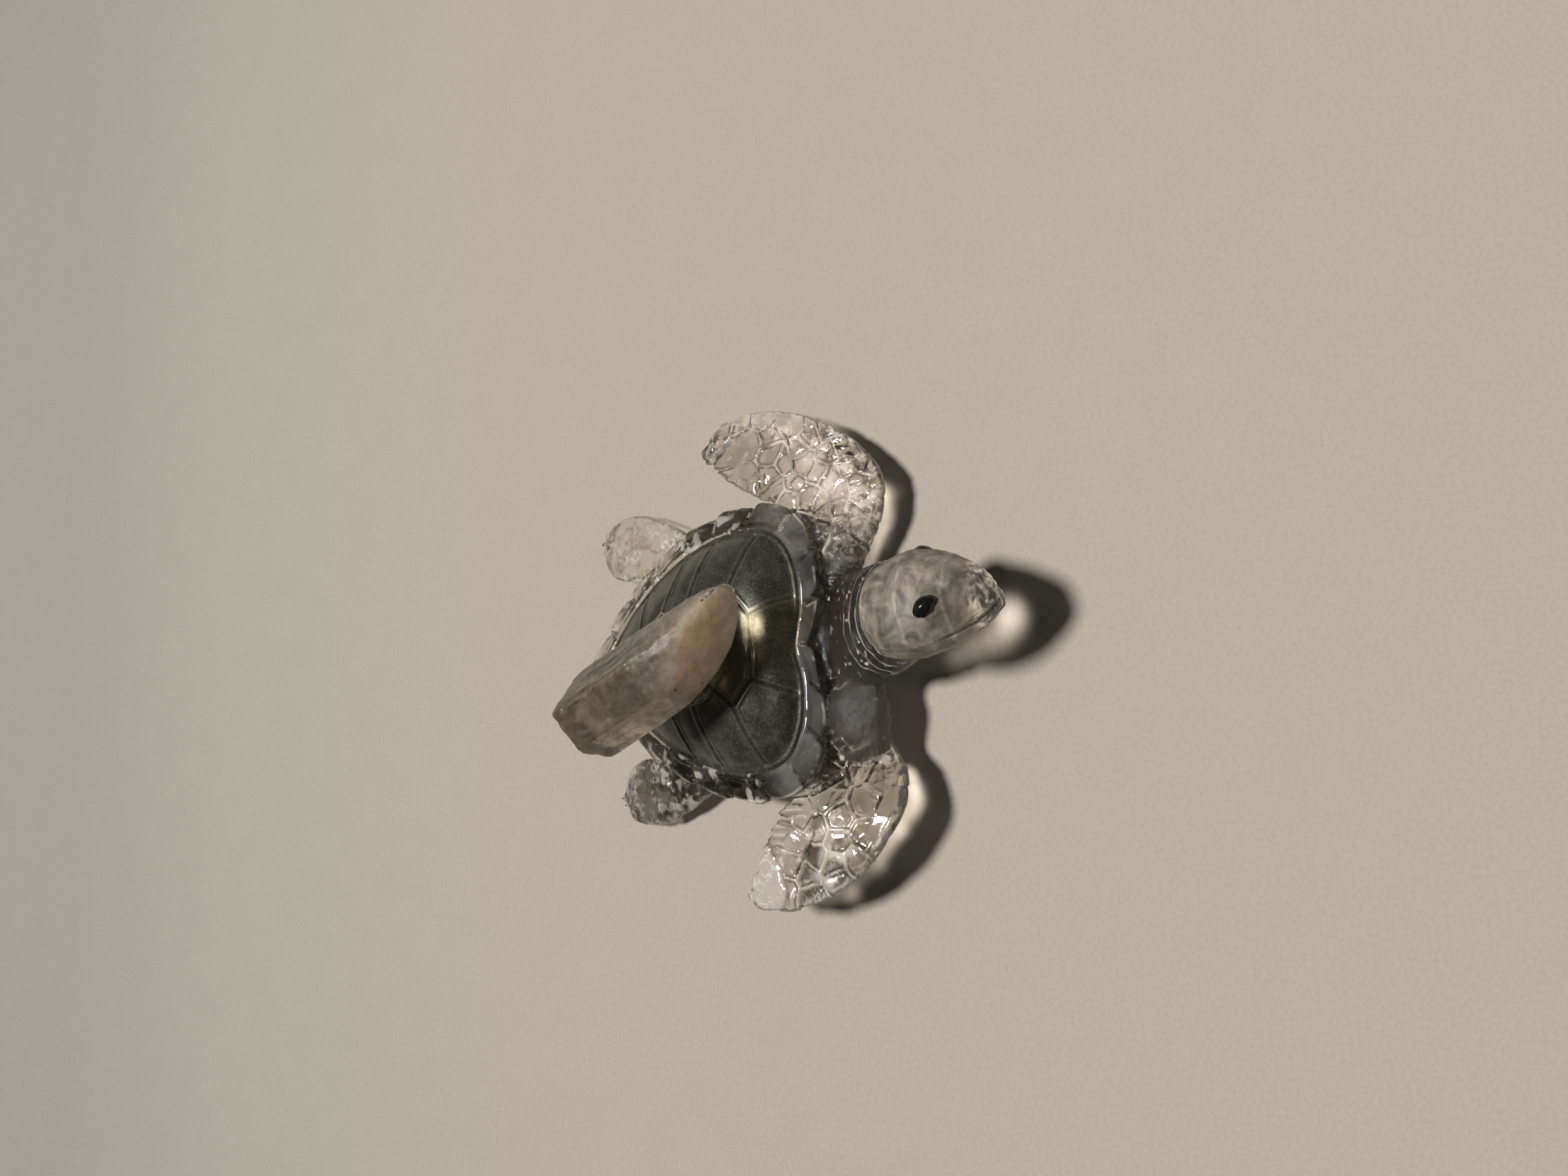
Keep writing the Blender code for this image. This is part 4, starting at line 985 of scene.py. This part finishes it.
def head_coordinates(points):
    """Share of the length from the back, place across, and height in the head's own frame."""
    own = moved(points, head_frame().inverted())
    return 0.5 - own[:, 1] / HEAD_SIZE[1], own[:, 0], own[:, 2]


def light_passed(points, normals, owner, place):
    """Share of the lamp's light that each part of the skin lets through to the paper."""
    facing = smooth_step(normals[:, 2], 0.45, 0.9)
    beak = smooth_step(head_coordinates(points)[0], 0.85, 1.0)
    shares = {
        NECK_PART: 0.05 * facing, HEAD_PART: 0.02 + 0.08 * beak,
        SHOULDER: 0.06 * facing, TORSO: 0.12 * facing,
    }
    passed = np.select([owner == part for part in shares], list(shares.values()))
    for part, side in ((LEFT_FRONT, 1), (RIGHT_FRONT, -1)):
        here = owner == part
        t, u = place[here].T
        seeds, *_, salt = FRONT_SKIN[side]
        names = placed_plates(points[here, :2] * (side, 1), seeds)[0]
        streaks = 0.5 + 0.5 * noise(points[here], 0.9, salt + 6)
        inner = (0.85 + 0.45 * hashed(names, salt + 5)) * (0.65 + 0.7 * streaks)
        width = LEAD_SHADE[side] + 0.04 * noise(points[here], 2.5, salt + 7)
        past_edge = smooth_step(u, width, width + 0.07)
        fade = 1 - 0.8 * smooth_step(t, 0.45, 0.70)
        if side > 0:
            past_edge = np.maximum(past_edge, smooth_step(t, 0.50, 0.72))
            fade = 0.5 + 0.5 * smooth_step(t, 0.06, 0.26)
        band = ridge(u - width - 0.10, 0.055) * (0.5 + streaks)
        passed[here] = (0.04 + 0.96 * past_edge) * (inner + 0.7 * band) * (0.25 + 0.75 * facing[here]) * fade
    rear = (owner == LEFT_REAR) | (owner == RIGHT_REAR)
    right_rear = facing[rear] * np.where(place[rear, 0] < 0.5, 0.08, 0.35)
    passed[rear] = np.where(points[rear, 0] > 0, 0.15 + 0.85 * facing[rear], right_rear)
    ground = points[:, :2] - points[:, 2:] * np.array(LAMP_SLOPE)
    facing = np.where(owner == HEAD_PART, 1.0, facing)
    passed += spots(ground, CAUSTICS) * (0.75 + 0.5 * noise(points, 0.8, 131)) * facing
    return np.where(normals[:, 2] > 0, np.clip(passed, 0.0, LIGHT_LIMIT), 1.0)


def casting(made):
    """The clear casting: one skin around all its parts, with their relief."""
    solids = {
        LEFT_FRONT: blade(LEFT_FLIPPER, 1, left_blade, depth=0.9, salt=101),
        RIGHT_FRONT: blade(RIGHT_FLIPPER, -1, right_blade, teeth=TRAIL_PLATE, depth=0.55, salt=102),
        LEFT_REAR: blade(REAR_FLIPPER, 1, rear_blade, depth=0.1, salt=103),
        RIGHT_REAR: blade(REAR_FLIPPER, -1, rear_blade, RIGHT_REAR_SHIFT, depth=0.1, salt=104),
    }
    for part, solid in ((TORSO, torso()), (NECK_PART, neck()), (HEAD_PART, head()), (SHOULDER, shoulder())):
        solids[part] = (solid, np.zeros((len(solid[0]), 2)))
    mesh = remeshed("resin_casting", [solid for solid, place in solids.values()], SKIN_STEP)
    relaxed(mesh, 6)
    x, y, z = mesh_arrays(mesh)[0].T
    shoulders = smooth_step(-y, 14.9, 16.2) * until(-y, 21.2, 22.6) * smooth_step(z, 0.4, 1.4)
    relaxed(mesh, 30, shares=shoulders * until(np.abs(x), 10.0, 13.0))
    relaxed(mesh, 60, shares=shoulders * smooth_step(-x, 1.5, 3.5) * until(-x, 11.0, 13.0))
    points, normals = mesh_arrays(mesh)
    owners = np.concatenate([np.full(len(solid[0]), part) for part, (solid, place) in solids.items()])
    places = np.vstack([place for solid, place in solids.values()])
    tree = KDTree(len(owners))
    for i, point in enumerate(np.vstack([solid[0] for solid, place in solids.values()])):
        tree.insert(point, i)
    tree.balance()
    nearby = np.array([[(k, gap) for _, k, gap in tree.find_n(point, 4)] for point in points.tolist()])
    near, gaps = nearby[..., 0].astype(np.int64), nearby[..., 1]
    owner = owners[near[:, 0]]
    weight = (owners[near] == owner[:, None]) / (gaps ** 2 + 1e-4)
    place = (places[near] * weight[..., None]).sum(axis=1) / weight.sum(axis=1)[:, None]
    relief, looks = resin_looks(points, normals, owner, place)
    points = points + normals * relief[:, None]
    points[:, 2] = np.maximum(points[:, 2], 0.0)
    set_points(mesh, points)
    looks["passed"] = light_passed(points, normals, owner, place)
    for name, values in looks.items():
        store(mesh, name, values)
    return finished("resin_casting", mesh, "resin_body", made)


def seam_segments():
    """Ends of all seam lines in plan."""
    half, length = CAP[0] / 2, CAP[2] - CAP[1]
    routes = [VERTEBRAL_SEAM, *COSTAL_SEAMS]
    routes += [[(-x, y) for x, y in route] for route in routes] + [((-x, y), (x, y)) for x, y in CROSS_SEAMS]
    segments = []
    for route in routes:
        placed = [(x * half, CAP[1] + y * length) for x, y in route]
        segments += list(zip(placed, placed[1:]))
    return np.array(segments)


def to_segments(points, segments):
    """Distance from plan points to the nearest of the segments."""
    found = np.full(len(points), np.inf)
    for start, end in segments:
        along = end - start
        t = np.clip(((points - start) @ along) / (along @ along), 0, 1)
        found = np.minimum(found, np.linalg.norm(points - start - t[:, None] * along, axis=1))
    return found


def cap_height(plan, share, edge, segments):
    """Height of the dark cap: a dome with sunk seams, a flat place in front, knobs and a rolled edge."""
    top = dome_height(share, edge)
    away = to_segments(plan, segments)
    lip = 0.20 * ridge((1 - share) * 12 - 0.32, 0.30) - 0.10 * ridge((1 - share) * 12 - 0.95, 0.35)
    seam = -0.13 * ridge(away, 0.13) + 0.10 * ridge(away - 0.34, 0.16) + 0.16 * (1 - np.exp(-away / 1.1))
    domed = np.column_stack([plan, top])
    lumps = 0.05 * noise(domed, 3.3, 81) + 0.012 * noise(domed, 0.7, 82)
    off_x, off_y = (plan - CAP_FLAT[:2]).T
    flat_top = CAP_FLAT[2] + CAP_FLAT_SLOPE[0] * off_x + CAP_FLAT_SLOPE[1] * off_y
    flat_top -= 0.035 * (off_x ** 2 + off_y ** 2)
    level = np.exp(-((off_x / CAP_FLAT_SIZE[0]) ** 2 + (off_y / CAP_FLAT_SIZE[1]) ** 2) ** 2)
    height = top + smooth_step(share, 0.97, 0.90) * seam * (1 - level) + spots(plan, CAP_BUMPS) + lumps - 0.1
    return height + level * (flat_top - top) + lip


def shell_insert(made):
    """The dark cap: a thick shell whose edge sits in the casting."""
    shares = np.arange(CAP_SIDES) / CAP_SIDES
    outline = plan_ring(CAP, shares)
    crest = np.array(CAP_CREST)
    edge = along_shell(outline[:, 1], CAP_EDGE_HEIGHT)
    inner = plan_ring(inset(CAP, CAP_SKIN), shares)
    rings = []
    for share in CAP_INNER_SHARES:
        rings.append(raised(crest + (inner - crest) * share, dome_height(share, edge) - CAP_SKIN))
    rings.append(raised(inner, edge - CAP_LIP_DEPTH))
    rings += [raised(outline, edge - CAP_LIP_DEPTH), raised(outline, edge - 0.5)]
    segments = seam_segments()
    for share in np.concatenate([np.linspace(*row) for row in CAP_SHARES]):
        ring = crest + (outline - crest) * share
        rings.append(raised(ring, cap_height(ring, share, edge, segments)))
    points, faces = loft(rings)
    mesh = bpy.data.meshes.new("shell_insert")
    mesh.from_pydata(points.tolist(), [], faces)
    store(mesh, "seam", to_segments(points[:, :2], segments))
    store(mesh, "rear", smooth_step(points[:, 1], 0.0, 8.0))
    return finished("shell_insert", mesh, "shell_cap", made, CAP_SHARP_ANGLE)


def ball(name, fineness, size, where, swells):
    """An uneven rounded body; each swell is a strength, a size and a salt of noise."""
    bm = bmesh.new()
    bmesh.ops.create_icosphere(bm, subdivisions=fineness, radius=0.5)
    mesh = bpy.data.meshes.new(name)
    bm.to_mesh(mesh)
    bm.free()
    points = mesh_arrays(mesh)[0]
    swell = sum((strength * noise(points, wide, salt) for strength, wide, salt in swells), 1)
    set_points(mesh, moved(points * swell[:, None] * size, where))
    return mesh


def eye_bead(name, side, made):
    station, turn = EYE_PLACES[side]
    angle = math.radians(turn) * side
    place = Vector(head_station(station, angle))
    outward = Vector((math.sin(angle), 0.0, math.cos(angle) * HEAD_SIZE[0] / HEAD_SIZE[2])).normalized()
    across = outward.cross(Vector((0.0, -1.0, 0.0))).normalized()
    along = across.cross(outward)
    slant = Matrix.Rotation(math.radians(EYE_SLANT) * side, 3, outward)
    axes = Matrix((slant @ along, slant @ across, outward)).transposed().to_4x4()
    where = head_frame() @ Matrix.Translation(place + outward * (EYE_STAND_OUT - EYE_SIZE[2] / 2)) @ axes
    mesh = ball(name, 5, EYE_SIZE, where, ((0.09, 0.42, 90 + side), (0.05, 0.17, 93 + side)))
    return finished(name, mesh, name.replace("_bead", ""), made)


def quartz_frame(height):
    """The crystal's place and heading in plan, at a height above the paper."""
    return Matrix.Translation((*QUARTZ_MIDDLE, height)) @ rotation(QUARTZ_HEADING, "Z")


def cut_prism():
    """The six-sided prism with its pointed end and its broken end, as one bmesh."""
    bm = bmesh.new()
    front = max(reach for direction, lean, reach in QUARTZ_TIP)
    middle = Matrix.Translation(((front - QUARTZ_BACK) / 2, 0.0, 0.0)) @ rotation(90, "Y")
    bmesh.ops.create_cone(
        bm, cap_ends=True, segments=6, radius1=QUARTZ_SIDE, radius2=QUARTZ_SIDE,
        depth=front + QUARTZ_BACK, matrix=middle,
    )
    for end, faces in ((1, QUARTZ_TIP), (-1, QUARTZ_BREAKS)):
        for direction, lean, reach in faces:
            turn, slope = math.radians(direction), math.radians(lean)
            normal = Vector((
                end * math.cos(slope), -math.sin(slope) * math.cos(turn), math.sin(slope) * math.sin(turn),
            ))
            cut = bmesh.ops.bisect_plane(
                bm, geom=bm.verts[:] + bm.edges[:] + bm.faces[:],
                plane_co=normal * (reach * math.cos(slope)), plane_no=normal, clear_outer=True,
            )
            rim = [item for item in cut["geom_cut"] if isinstance(item, bmesh.types.BMEdge)]
            if rim:
                bmesh.ops.edgeloop_fill(bm, edges=rim)
    bmesh.ops.recalc_face_normals(bm, faces=bm.faces)
    bm.normal_update()
    return bm


def crystal(made):
    """The quartz point: a worn prism with striped sides and a chipped end."""
    bm = cut_prism()
    planes = np.array([(*face.normal, face.normal.dot(face.verts[0].co)) for face in bm.faces])
    solid = (np.array([v.co for v in bm.verts]), [tuple(v.index for v in face.verts) for face in bm.faces])
    bm.free()
    mesh = remeshed("quartz_crystal", [solid], SKIN_STEP)
    relaxed(mesh, 2)
    points = mesh_arrays(mesh)[0]
    softness = 0.12 + 0.55 * smooth_step(points[:, 0], -4.0, 6.0)
    for _ in range(QUARTZ_ROUNDS):
        reach = (points @ planes[:, :3].T - planes[:, 3]) / softness[:, None]
        top = reach.max(axis=1)
        weight = np.exp(reach - top[:, None])
        total = weight.sum(axis=1)
        slope = (weight[:, :, None] * planes[None, :, :3]).sum(axis=1) / total[:, None]
        value = softness * (top + np.log(total) - QUARTZ_FULLNESS)
        points = points - slope * (value / (slope ** 2).sum(axis=1))[:, None]
    set_points(mesh, points)
    lowest = QUARTZ_SIDE * max(math.sin(math.radians(60 * k + QUARTZ_ROLL)) for k in range(6))
    where = quartz_frame(CAP_TOP_HEIGHT + QUARTZ_LIFT + lowest) @ rotation(QUARTZ_ROLL, "X")
    facing = planes[:, :3] @ np.array(where)[:3, :3].T
    wide = np.exp(reach * softness[:, None] / 0.55)
    wide /= wide.sum(axis=1)[:, None]
    # Mask of painted light: the tip's faces that turn from the lamp
    store(mesh, "front", (wide * smooth_step(-facing[:, 1], 0.60, 0.80)).sum(axis=1))
    store(mesh, "strip", (wide * smooth_step(facing[:, 0], 0.45, 0.65) * (facing[:, 2] > 0)).sum(axis=1))
    points, normals = mesh_arrays(mesh)
    stretched = points * (0.18, 1.0, 1.0)
    relief = 0.05 * rough(stretched, 0.6, 111) + 0.10 * noise(points, 3.5, 112)
    relief += 0.03 * rough(points, 0.8, 113)
    broken = smooth_step(points[:, 0], -10.5, -12.5)
    offset = scattered_cells(points, 2.3, 114)[2]
    relief -= broken * (0.25 * np.linalg.norm(offset, axis=1) - 0.15)
    points = points + normals * (relief - 0.10)[:, None]
    store(mesh, "along", points[:, 0])
    set_points(mesh, moved(points, where))
    return finished("quartz_crystal", mesh, "quartz_point", made)


def glue_bead(made):
    """The squeezed-out clear glue between cap and crystal, with an uneven outline."""
    where = quartz_frame(CAP_TOP_HEIGHT) @ Matrix.Translation((-GLUE_SET_BACK, 0, 0))
    mesh = ball("glue_bead", 6, GLUE_SIZE, where, ((0.10, 0.25, 121), (0.05, 0.09, 122)))
    return finished("glue_bead", mesh, "crystal_glue", made)


def feed(node, key, value):
    """Links a socket to an input, or sets the input to a number or a colour."""
    if isinstance(value, bpy.types.NodeSocket):
        node.id_data.links.new(value, node.inputs[key])
    else:
        node.inputs[key].default_value = (*value, 1.0) if isinstance(value, tuple) else value


def principled(name, colour, roughness, **settings):
    made = bpy.data.materials.new(name)
    made.use_nodes = True
    shader = made.node_tree.nodes["Principled BSDF"]
    feed(shader, "Base Color", colour)
    feed(shader, "Roughness", roughness)
    for key, value in settings.items():
        feed(shader, key.replace("_", " "), value)
    return made, made.node_tree, shader


def texture(tree, scale, kind="Noise", output="Fac", stretch=(1.0, 1.0, 1.0), **settings):
    """A procedural texture laid in the object's own millimetres."""
    coordinates = tree.nodes.new("ShaderNodeTexCoord")
    mapping = tree.nodes.new("ShaderNodeMapping")
    mapping.inputs["Scale"].default_value = [1000.0 * s for s in stretch]
    feed(mapping, "Vector", coordinates.outputs["Object"])
    node = tree.nodes.new("ShaderNodeTex" + kind)
    feed(node, "Vector", mapping.outputs["Vector"])
    feed(node, "Scale", scale)
    for key, value in settings.items():
        feed(node, key, value)
    return node.outputs[output]


def ramp(tree, source, *stops):
    node = tree.nodes.new("ShaderNodeValToRGB")
    while len(node.color_ramp.elements) < len(stops):
        node.color_ramp.elements.new(0.5)
    for element, (place, value) in zip(node.color_ramp.elements, stops):
        element.position = place
        element.color = (*value, 1.0) if isinstance(value, tuple) else (value, value, value, 1.0)
    feed(node, "Fac", source)
    return node.outputs["Color"]


def maths(tree, operation, first, second):
    node = tree.nodes.new("ShaderNodeMath")
    node.operation = operation
    feed(node, 0, first)
    feed(node, 1, second)
    return node.outputs["Value"]


def times(tree, first, second):
    return maths(tree, "MULTIPLY", first, second)


def bump(tree, shader, source, depth):
    node = tree.nodes.new("ShaderNodeBump")
    feed(node, "Distance", depth * MM)
    feed(node, "Strength", 1.0)
    feed(node, "Height", source)
    feed(shader, "Normal", node.outputs["Normal"])


def attribute(tree, name):
    node = tree.nodes.new("ShaderNodeAttribute")
    node.attribute_name = name
    return node.outputs["Fac"]


def mixed(tree, factor, first, second, blend="MIX"):
    """Blends two colours, each a colour or a socket."""
    node = tree.nodes.new("ShaderNodeMix")
    node.data_type = "RGBA"
    node.blend_type = blend
    for name, value in (("Factor", factor), ("A", first), ("B", second)):
        feed(node, name, value)
    return node.outputs["Result"]


def tinted(tree, first, second):
    return mixed(tree, 1.0, first, second, "MULTIPLY")


def through(tree, shader, colour):
    """Lets the lamp's light and the paper's light pass straight, tinted with a colour."""
    straight = tree.nodes.new("ShaderNodeBsdfTransparent")
    feed(straight, "Color", colour)
    rays = tree.nodes.new("ShaderNodeLightPath")
    both = tree.nodes.new("ShaderNodeMixShader")
    feed(both, 0, maths(tree, "MAXIMUM", rays.outputs["Is Shadow Ray"], rays.outputs["Is Diffuse Ray"]))
    feed(both, 1, shader.outputs[0])
    feed(both, 2, straight.outputs[0])
    feed(tree.nodes["Material Output"], "Surface", both.outputs[0])


def clear_resin():
    """Clear resin, milky with light clouds in the head, with painted highlights from the stored lines and
    painted shade from the stored tone. Lamp light passes it straight, as stored.
    """
    made, tree, shader = principled("clear_resin", RESIN_CLEAR, 0.03, IOR=1.5)
    haze, line = attribute(tree, "haze"), attribute(tree, "line")
    cloud = texture(tree, 0.50, Detail=5.0, Roughness=0.6, Distortion=1.2)
    band = texture(tree, 0.32, stretch=(0.5, 1.0, 1.0), Detail=4.0, Roughness=0.55, Distortion=1.6)
    cloudy = times(tree, haze, ramp(tree, cloud, (0.34, 0.30), (0.66, 0.97)))
    # The stored lines, painted highlights, make the resin pale and less clear where they lie
    milky = maths(tree, "MAXIMUM", cloudy, times(tree, line, 0.85))
    feed(shader, "Transmission Weight", maths(tree, "SUBTRACT", 1.0, milky))
    dull = ramp(tree, band, (0.40, RESIN_MILK[0]), (0.62, RESIN_MILK[1]))
    # The stored tone darkens the resin with painted shade
    tint = ramp(tree, attribute(tree, "tone"), (0.0, 0.0), (0.5, RESIN_HALF_TONE), (1.0, 1.0))
    clear = tinted(tree, RESIN_CLEAR, tint)
    colour = mixed(tree, maths(tree, "MINIMUM", times(tree, cloudy, 4.0), 1.0), clear, dull)
    feed(shader, "Base Color", mixed(tree, line, colour, RESIN_LINE))
    feed(shader, "Roughness", ramp(tree, haze, (0.3, 0.03), (0.9, 0.55)))
    grain = texture(tree, 2.2, Detail=4.0, Roughness=0.65)
    bump(tree, shader, times(tree, grain, attribute(tree, "grit")), 0.16)
    through(tree, shader, tinted(tree, attribute(tree, "passed"), RESIN_SHADOW))
    return made


def metallic_resin():
    """Dark green-grey resin with fine mica flakes, darker at the rear, and paler beside the seams as a
    painted highlight on the ridges there.
    """
    made, tree, shader = principled("metallic_resin", (0.06, 0.07, 0.065), 0.4, Metallic=0.6)
    flakes = texture(tree, 5.0, Detail=3.0, Roughness=0.7)
    clouds = texture(tree, 0.45, Detail=3.0, Distortion=0.8)
    base = ramp(tree, clouds, (0.30, CAP_CLOUDS[0]), (0.72, CAP_CLOUDS[1]))
    speck = ramp(tree, flakes, (0.50, BLACK), (0.75, CAP_FLAKES))
    # Painted highlights beside the seams, where the raised ridges catch the light
    line = ramp(tree, attribute(tree, "seam"), (0.12, BLACK), (0.30, CAP_LINES), (0.50, BLACK))
    base = mixed(tree, 1.0, mixed(tree, 1.0, base, speck, "ADD"), line, "ADD")
    darker = ramp(tree, attribute(tree, "rear"), (0.0, 1.0), (1.0, 0.55))
    feed(shader, "Base Color", tinted(tree, base, darker))
    feed(shader, "Roughness", ramp(tree, flakes, (0.3, 0.30), (0.7, 0.50)))
    feed(shader, "Coat Weight", 0.35)
    feed(shader, "Coat Roughness", 0.30)
    bump(tree, shader, flakes, 0.010)
    return made


def black_gloss():
    made, tree, shader = principled("black_gloss", (0.008, 0.008, 0.008), 0.12)
    grain = texture(tree, 2.0, Detail=3.0)
    feed(shader, "Roughness", ramp(tree, grain, (0.3, 0.08), (0.7, 0.3)))
    bump(tree, shader, grain, 0.02)
    return made


def frosted_quartz():
    """Warm frosted quartz that glows a little from within, clearer and mottled towards its broken end, with
    painted light on the tip's faces that turn from the lamp.
    """
    made, tree, shader = principled("frosted_quartz", (0.32, 0.25, 0.175), 0.35, IOR=1.54)
    along, front = attribute(tree, "along"), attribute(tree, "front")
    clouds = texture(tree, 0.42, Detail=5.0, Roughness=0.65, Distortion=0.6)
    drift = maths(tree, "ADD", times(tree, along, 0.08), times(tree, clouds, 1.3))
    frost = maths(tree, "MAXIMUM", ramp(tree, drift, (0.45, 0.0), (0.95, 1.0)), front)
    feed(shader, "Transmission Weight", ramp(tree, frost, (0.0, 0.70), (1.0, 0.12)))
    feed(shader, "Roughness", ramp(tree, frost, (0.0, 0.20), (1.0, 0.45)))
    sides = ramp(tree, frost, (0.0, QUARTZ_SIDES[0]), (1.0, QUARTZ_SIDES[1]))
    sides = mixed(tree, times(tree, attribute(tree, "strip"), 0.8), sides, QUARTZ_STRIP)
    patches = texture(tree, 0.9, Detail=5.0, Roughness=0.7)
    sides = tinted(tree, sides, ramp(tree, patches, (0.35, 0.62), (0.62, 1.12)))
    # Painted light on the tip's faces that turn from the lamp
    tip = ramp(tree, patches, (0.35, QUARTZ_PAINTED_TIP_LIGHT[0]), (0.62, QUARTZ_PAINTED_TIP_LIGHT[1]))
    specks = texture(tree, 0.34, "Voronoi", "Distance")
    dot = ramp(tree, specks, (0.03, QUARTZ_SPECKS), (0.07, WHITE))
    feed(shader, "Base Color", tinted(tree, mixed(tree, front, sides, tip), dot))
    feed(shader, "Specular IOR Level", 0.3)
    feed(shader, "Subsurface Weight", 1.0)
    shader.inputs["Subsurface Radius"].default_value = (1.0, 0.85, 0.7)
    feed(shader, "Subsurface Scale", 4.0 * MM)
    bump(tree, shader, texture(tree, 2.2, Detail=5.0), 0.03)
    share = maths(tree, "DIVIDE", along, QUARTZ_BACK)
    through(tree, shader, ramp(tree, share, (0.20, QUARTZ_SHADOW[0]), (0.34, QUARTZ_SHADOW[1])))
    return made


def clear_glue():
    made, tree, shader = principled("clear_glue", GLUE_COLOUR, 0.08, IOR=1.47, Transmission_Weight=1.0)
    bump(tree, shader, texture(tree, 1.6, Detail=4.0), 0.06)
    through(tree, shader, GLUE_SHADOW)
    return made


def paper_material():
    """Pale paper with fine fibres, a little darker and greener behind the turtle."""
    made, tree, shader = principled("paper", PAPER_COLOUR, 0.85, Specular_IOR_Level=0.2)
    fibre = texture(tree, 2.6, Detail=4.0, Roughness=0.7)
    clouds = texture(tree, 0.20, Detail=3.0)
    place = tree.nodes.new("ShaderNodeSeparateXYZ")
    coordinates = tree.nodes.new("ShaderNodeTexCoord")
    feed(place, 0, coordinates.outputs["Object"])
    along = maths(tree, "ADD", maths(tree, "DIVIDE", place.outputs["Y"], 2 * PAPER_FADE * MM), 0.5)
    shades = [(at, tuple(c * share for c in PAPER_COLOUR)) for at, share in PAPER_SHADES]
    base = ramp(tree, along, *shades, (PAPER_BEHIND, PAPER_BEHIND_COLOUR), (1.0, PAPER_FAR_COLOUR))
    fine, coarse = ramp(tree, fibre, (0.30, 0.86), (0.70, 1.0)), ramp(tree, clouds, (0.3, 0.975), (0.7, 1.0))
    feed(shader, "Base Color", tinted(tree, base, tinted(tree, fine, coarse)))
    bump(tree, shader, fibre, 0.02)
    return made


def camera():
    elevation, azimuth, heading = (
        math.radians(v) for v in (CAMERA_ELEVATION, CAMERA_AZIMUTH, CAMERA_HEADING)
    )
    back = Vector((
        -math.sin(azimuth) * math.cos(elevation),
        -math.cos(azimuth) * math.cos(elevation),
        math.sin(elevation),
    ))
    ahead = Vector((0.0, -1.0, 0.0))
    flat = (ahead - back * ahead.dot(back)).normalized()
    side = back.cross(flat)
    right = flat * math.cos(heading) - side * math.sin(heading)
    up = back.cross(right)
    lens = bpy.data.cameras.new("photo_camera")
    lens.sensor_width = SENSOR_WIDTH
    lens.lens = SENSOR_WIDTH * FOCAL_PIXELS / PHOTO_WIDTH
    lens.clip_start = 0.001
    holder = shown("photo_camera", lens)
    holder.matrix_world = Matrix((right, up, back)).transposed().to_4x4()
    holder.location = (Vector(CAMERA_TARGET) + back * CAMERA_DISTANCE) * MM
    bpy.context.scene.camera = holder


def lamp():
    light = bpy.data.lights.new("key_lamp", "AREA")
    light.shape = "DISK"
    light.size = LAMP_SIZE * MM
    light.energy = LAMP_POWER
    light.color = LAMP_COLOUR
    lean = rotation(-LAMP_LEAN, "X") @ rotation(LAMP_SIDE, "Y")
    shown("key_lamp", light).matrix_world = lean @ Matrix.Translation((0.0, 0.0, LAMP_DISTANCE * MM))


def surroundings():
    world = bpy.data.worlds.new("room")
    world.use_nodes = True
    background = world.node_tree.nodes["Background"]
    background.inputs["Color"].default_value = (*FILL_COLOUR, 1.0)
    background.inputs["Strength"].default_value = FILL_STRENGTH
    bpy.context.scene.world = world


def paper():
    half = PAPER_HALF_WIDTH * MM
    mesh = bpy.data.meshes.new("paper")
    corners = [(-half, -half, 0), (half, -half, 0), (half, half, 0), (-half, half, 0)]
    mesh.from_pydata(corners, [], [(0, 1, 2, 3)])
    mesh.materials.append(paper_material())
    sheet = shown("paper", mesh)
    sheet.location.z = -PAPER_DROP * MM


casting(clear_resin())
shell_insert(metallic_resin())
black = black_gloss()
eye_bead("left_eye_bead", 1, black)
eye_bead("right_eye_bead", -1, black)
crystal(frosted_quartz())
glue_bead(clear_glue())
camera()
lamp()
surroundings()
paper()
bpy.context.scene.view_settings.view_transform = "Standard"
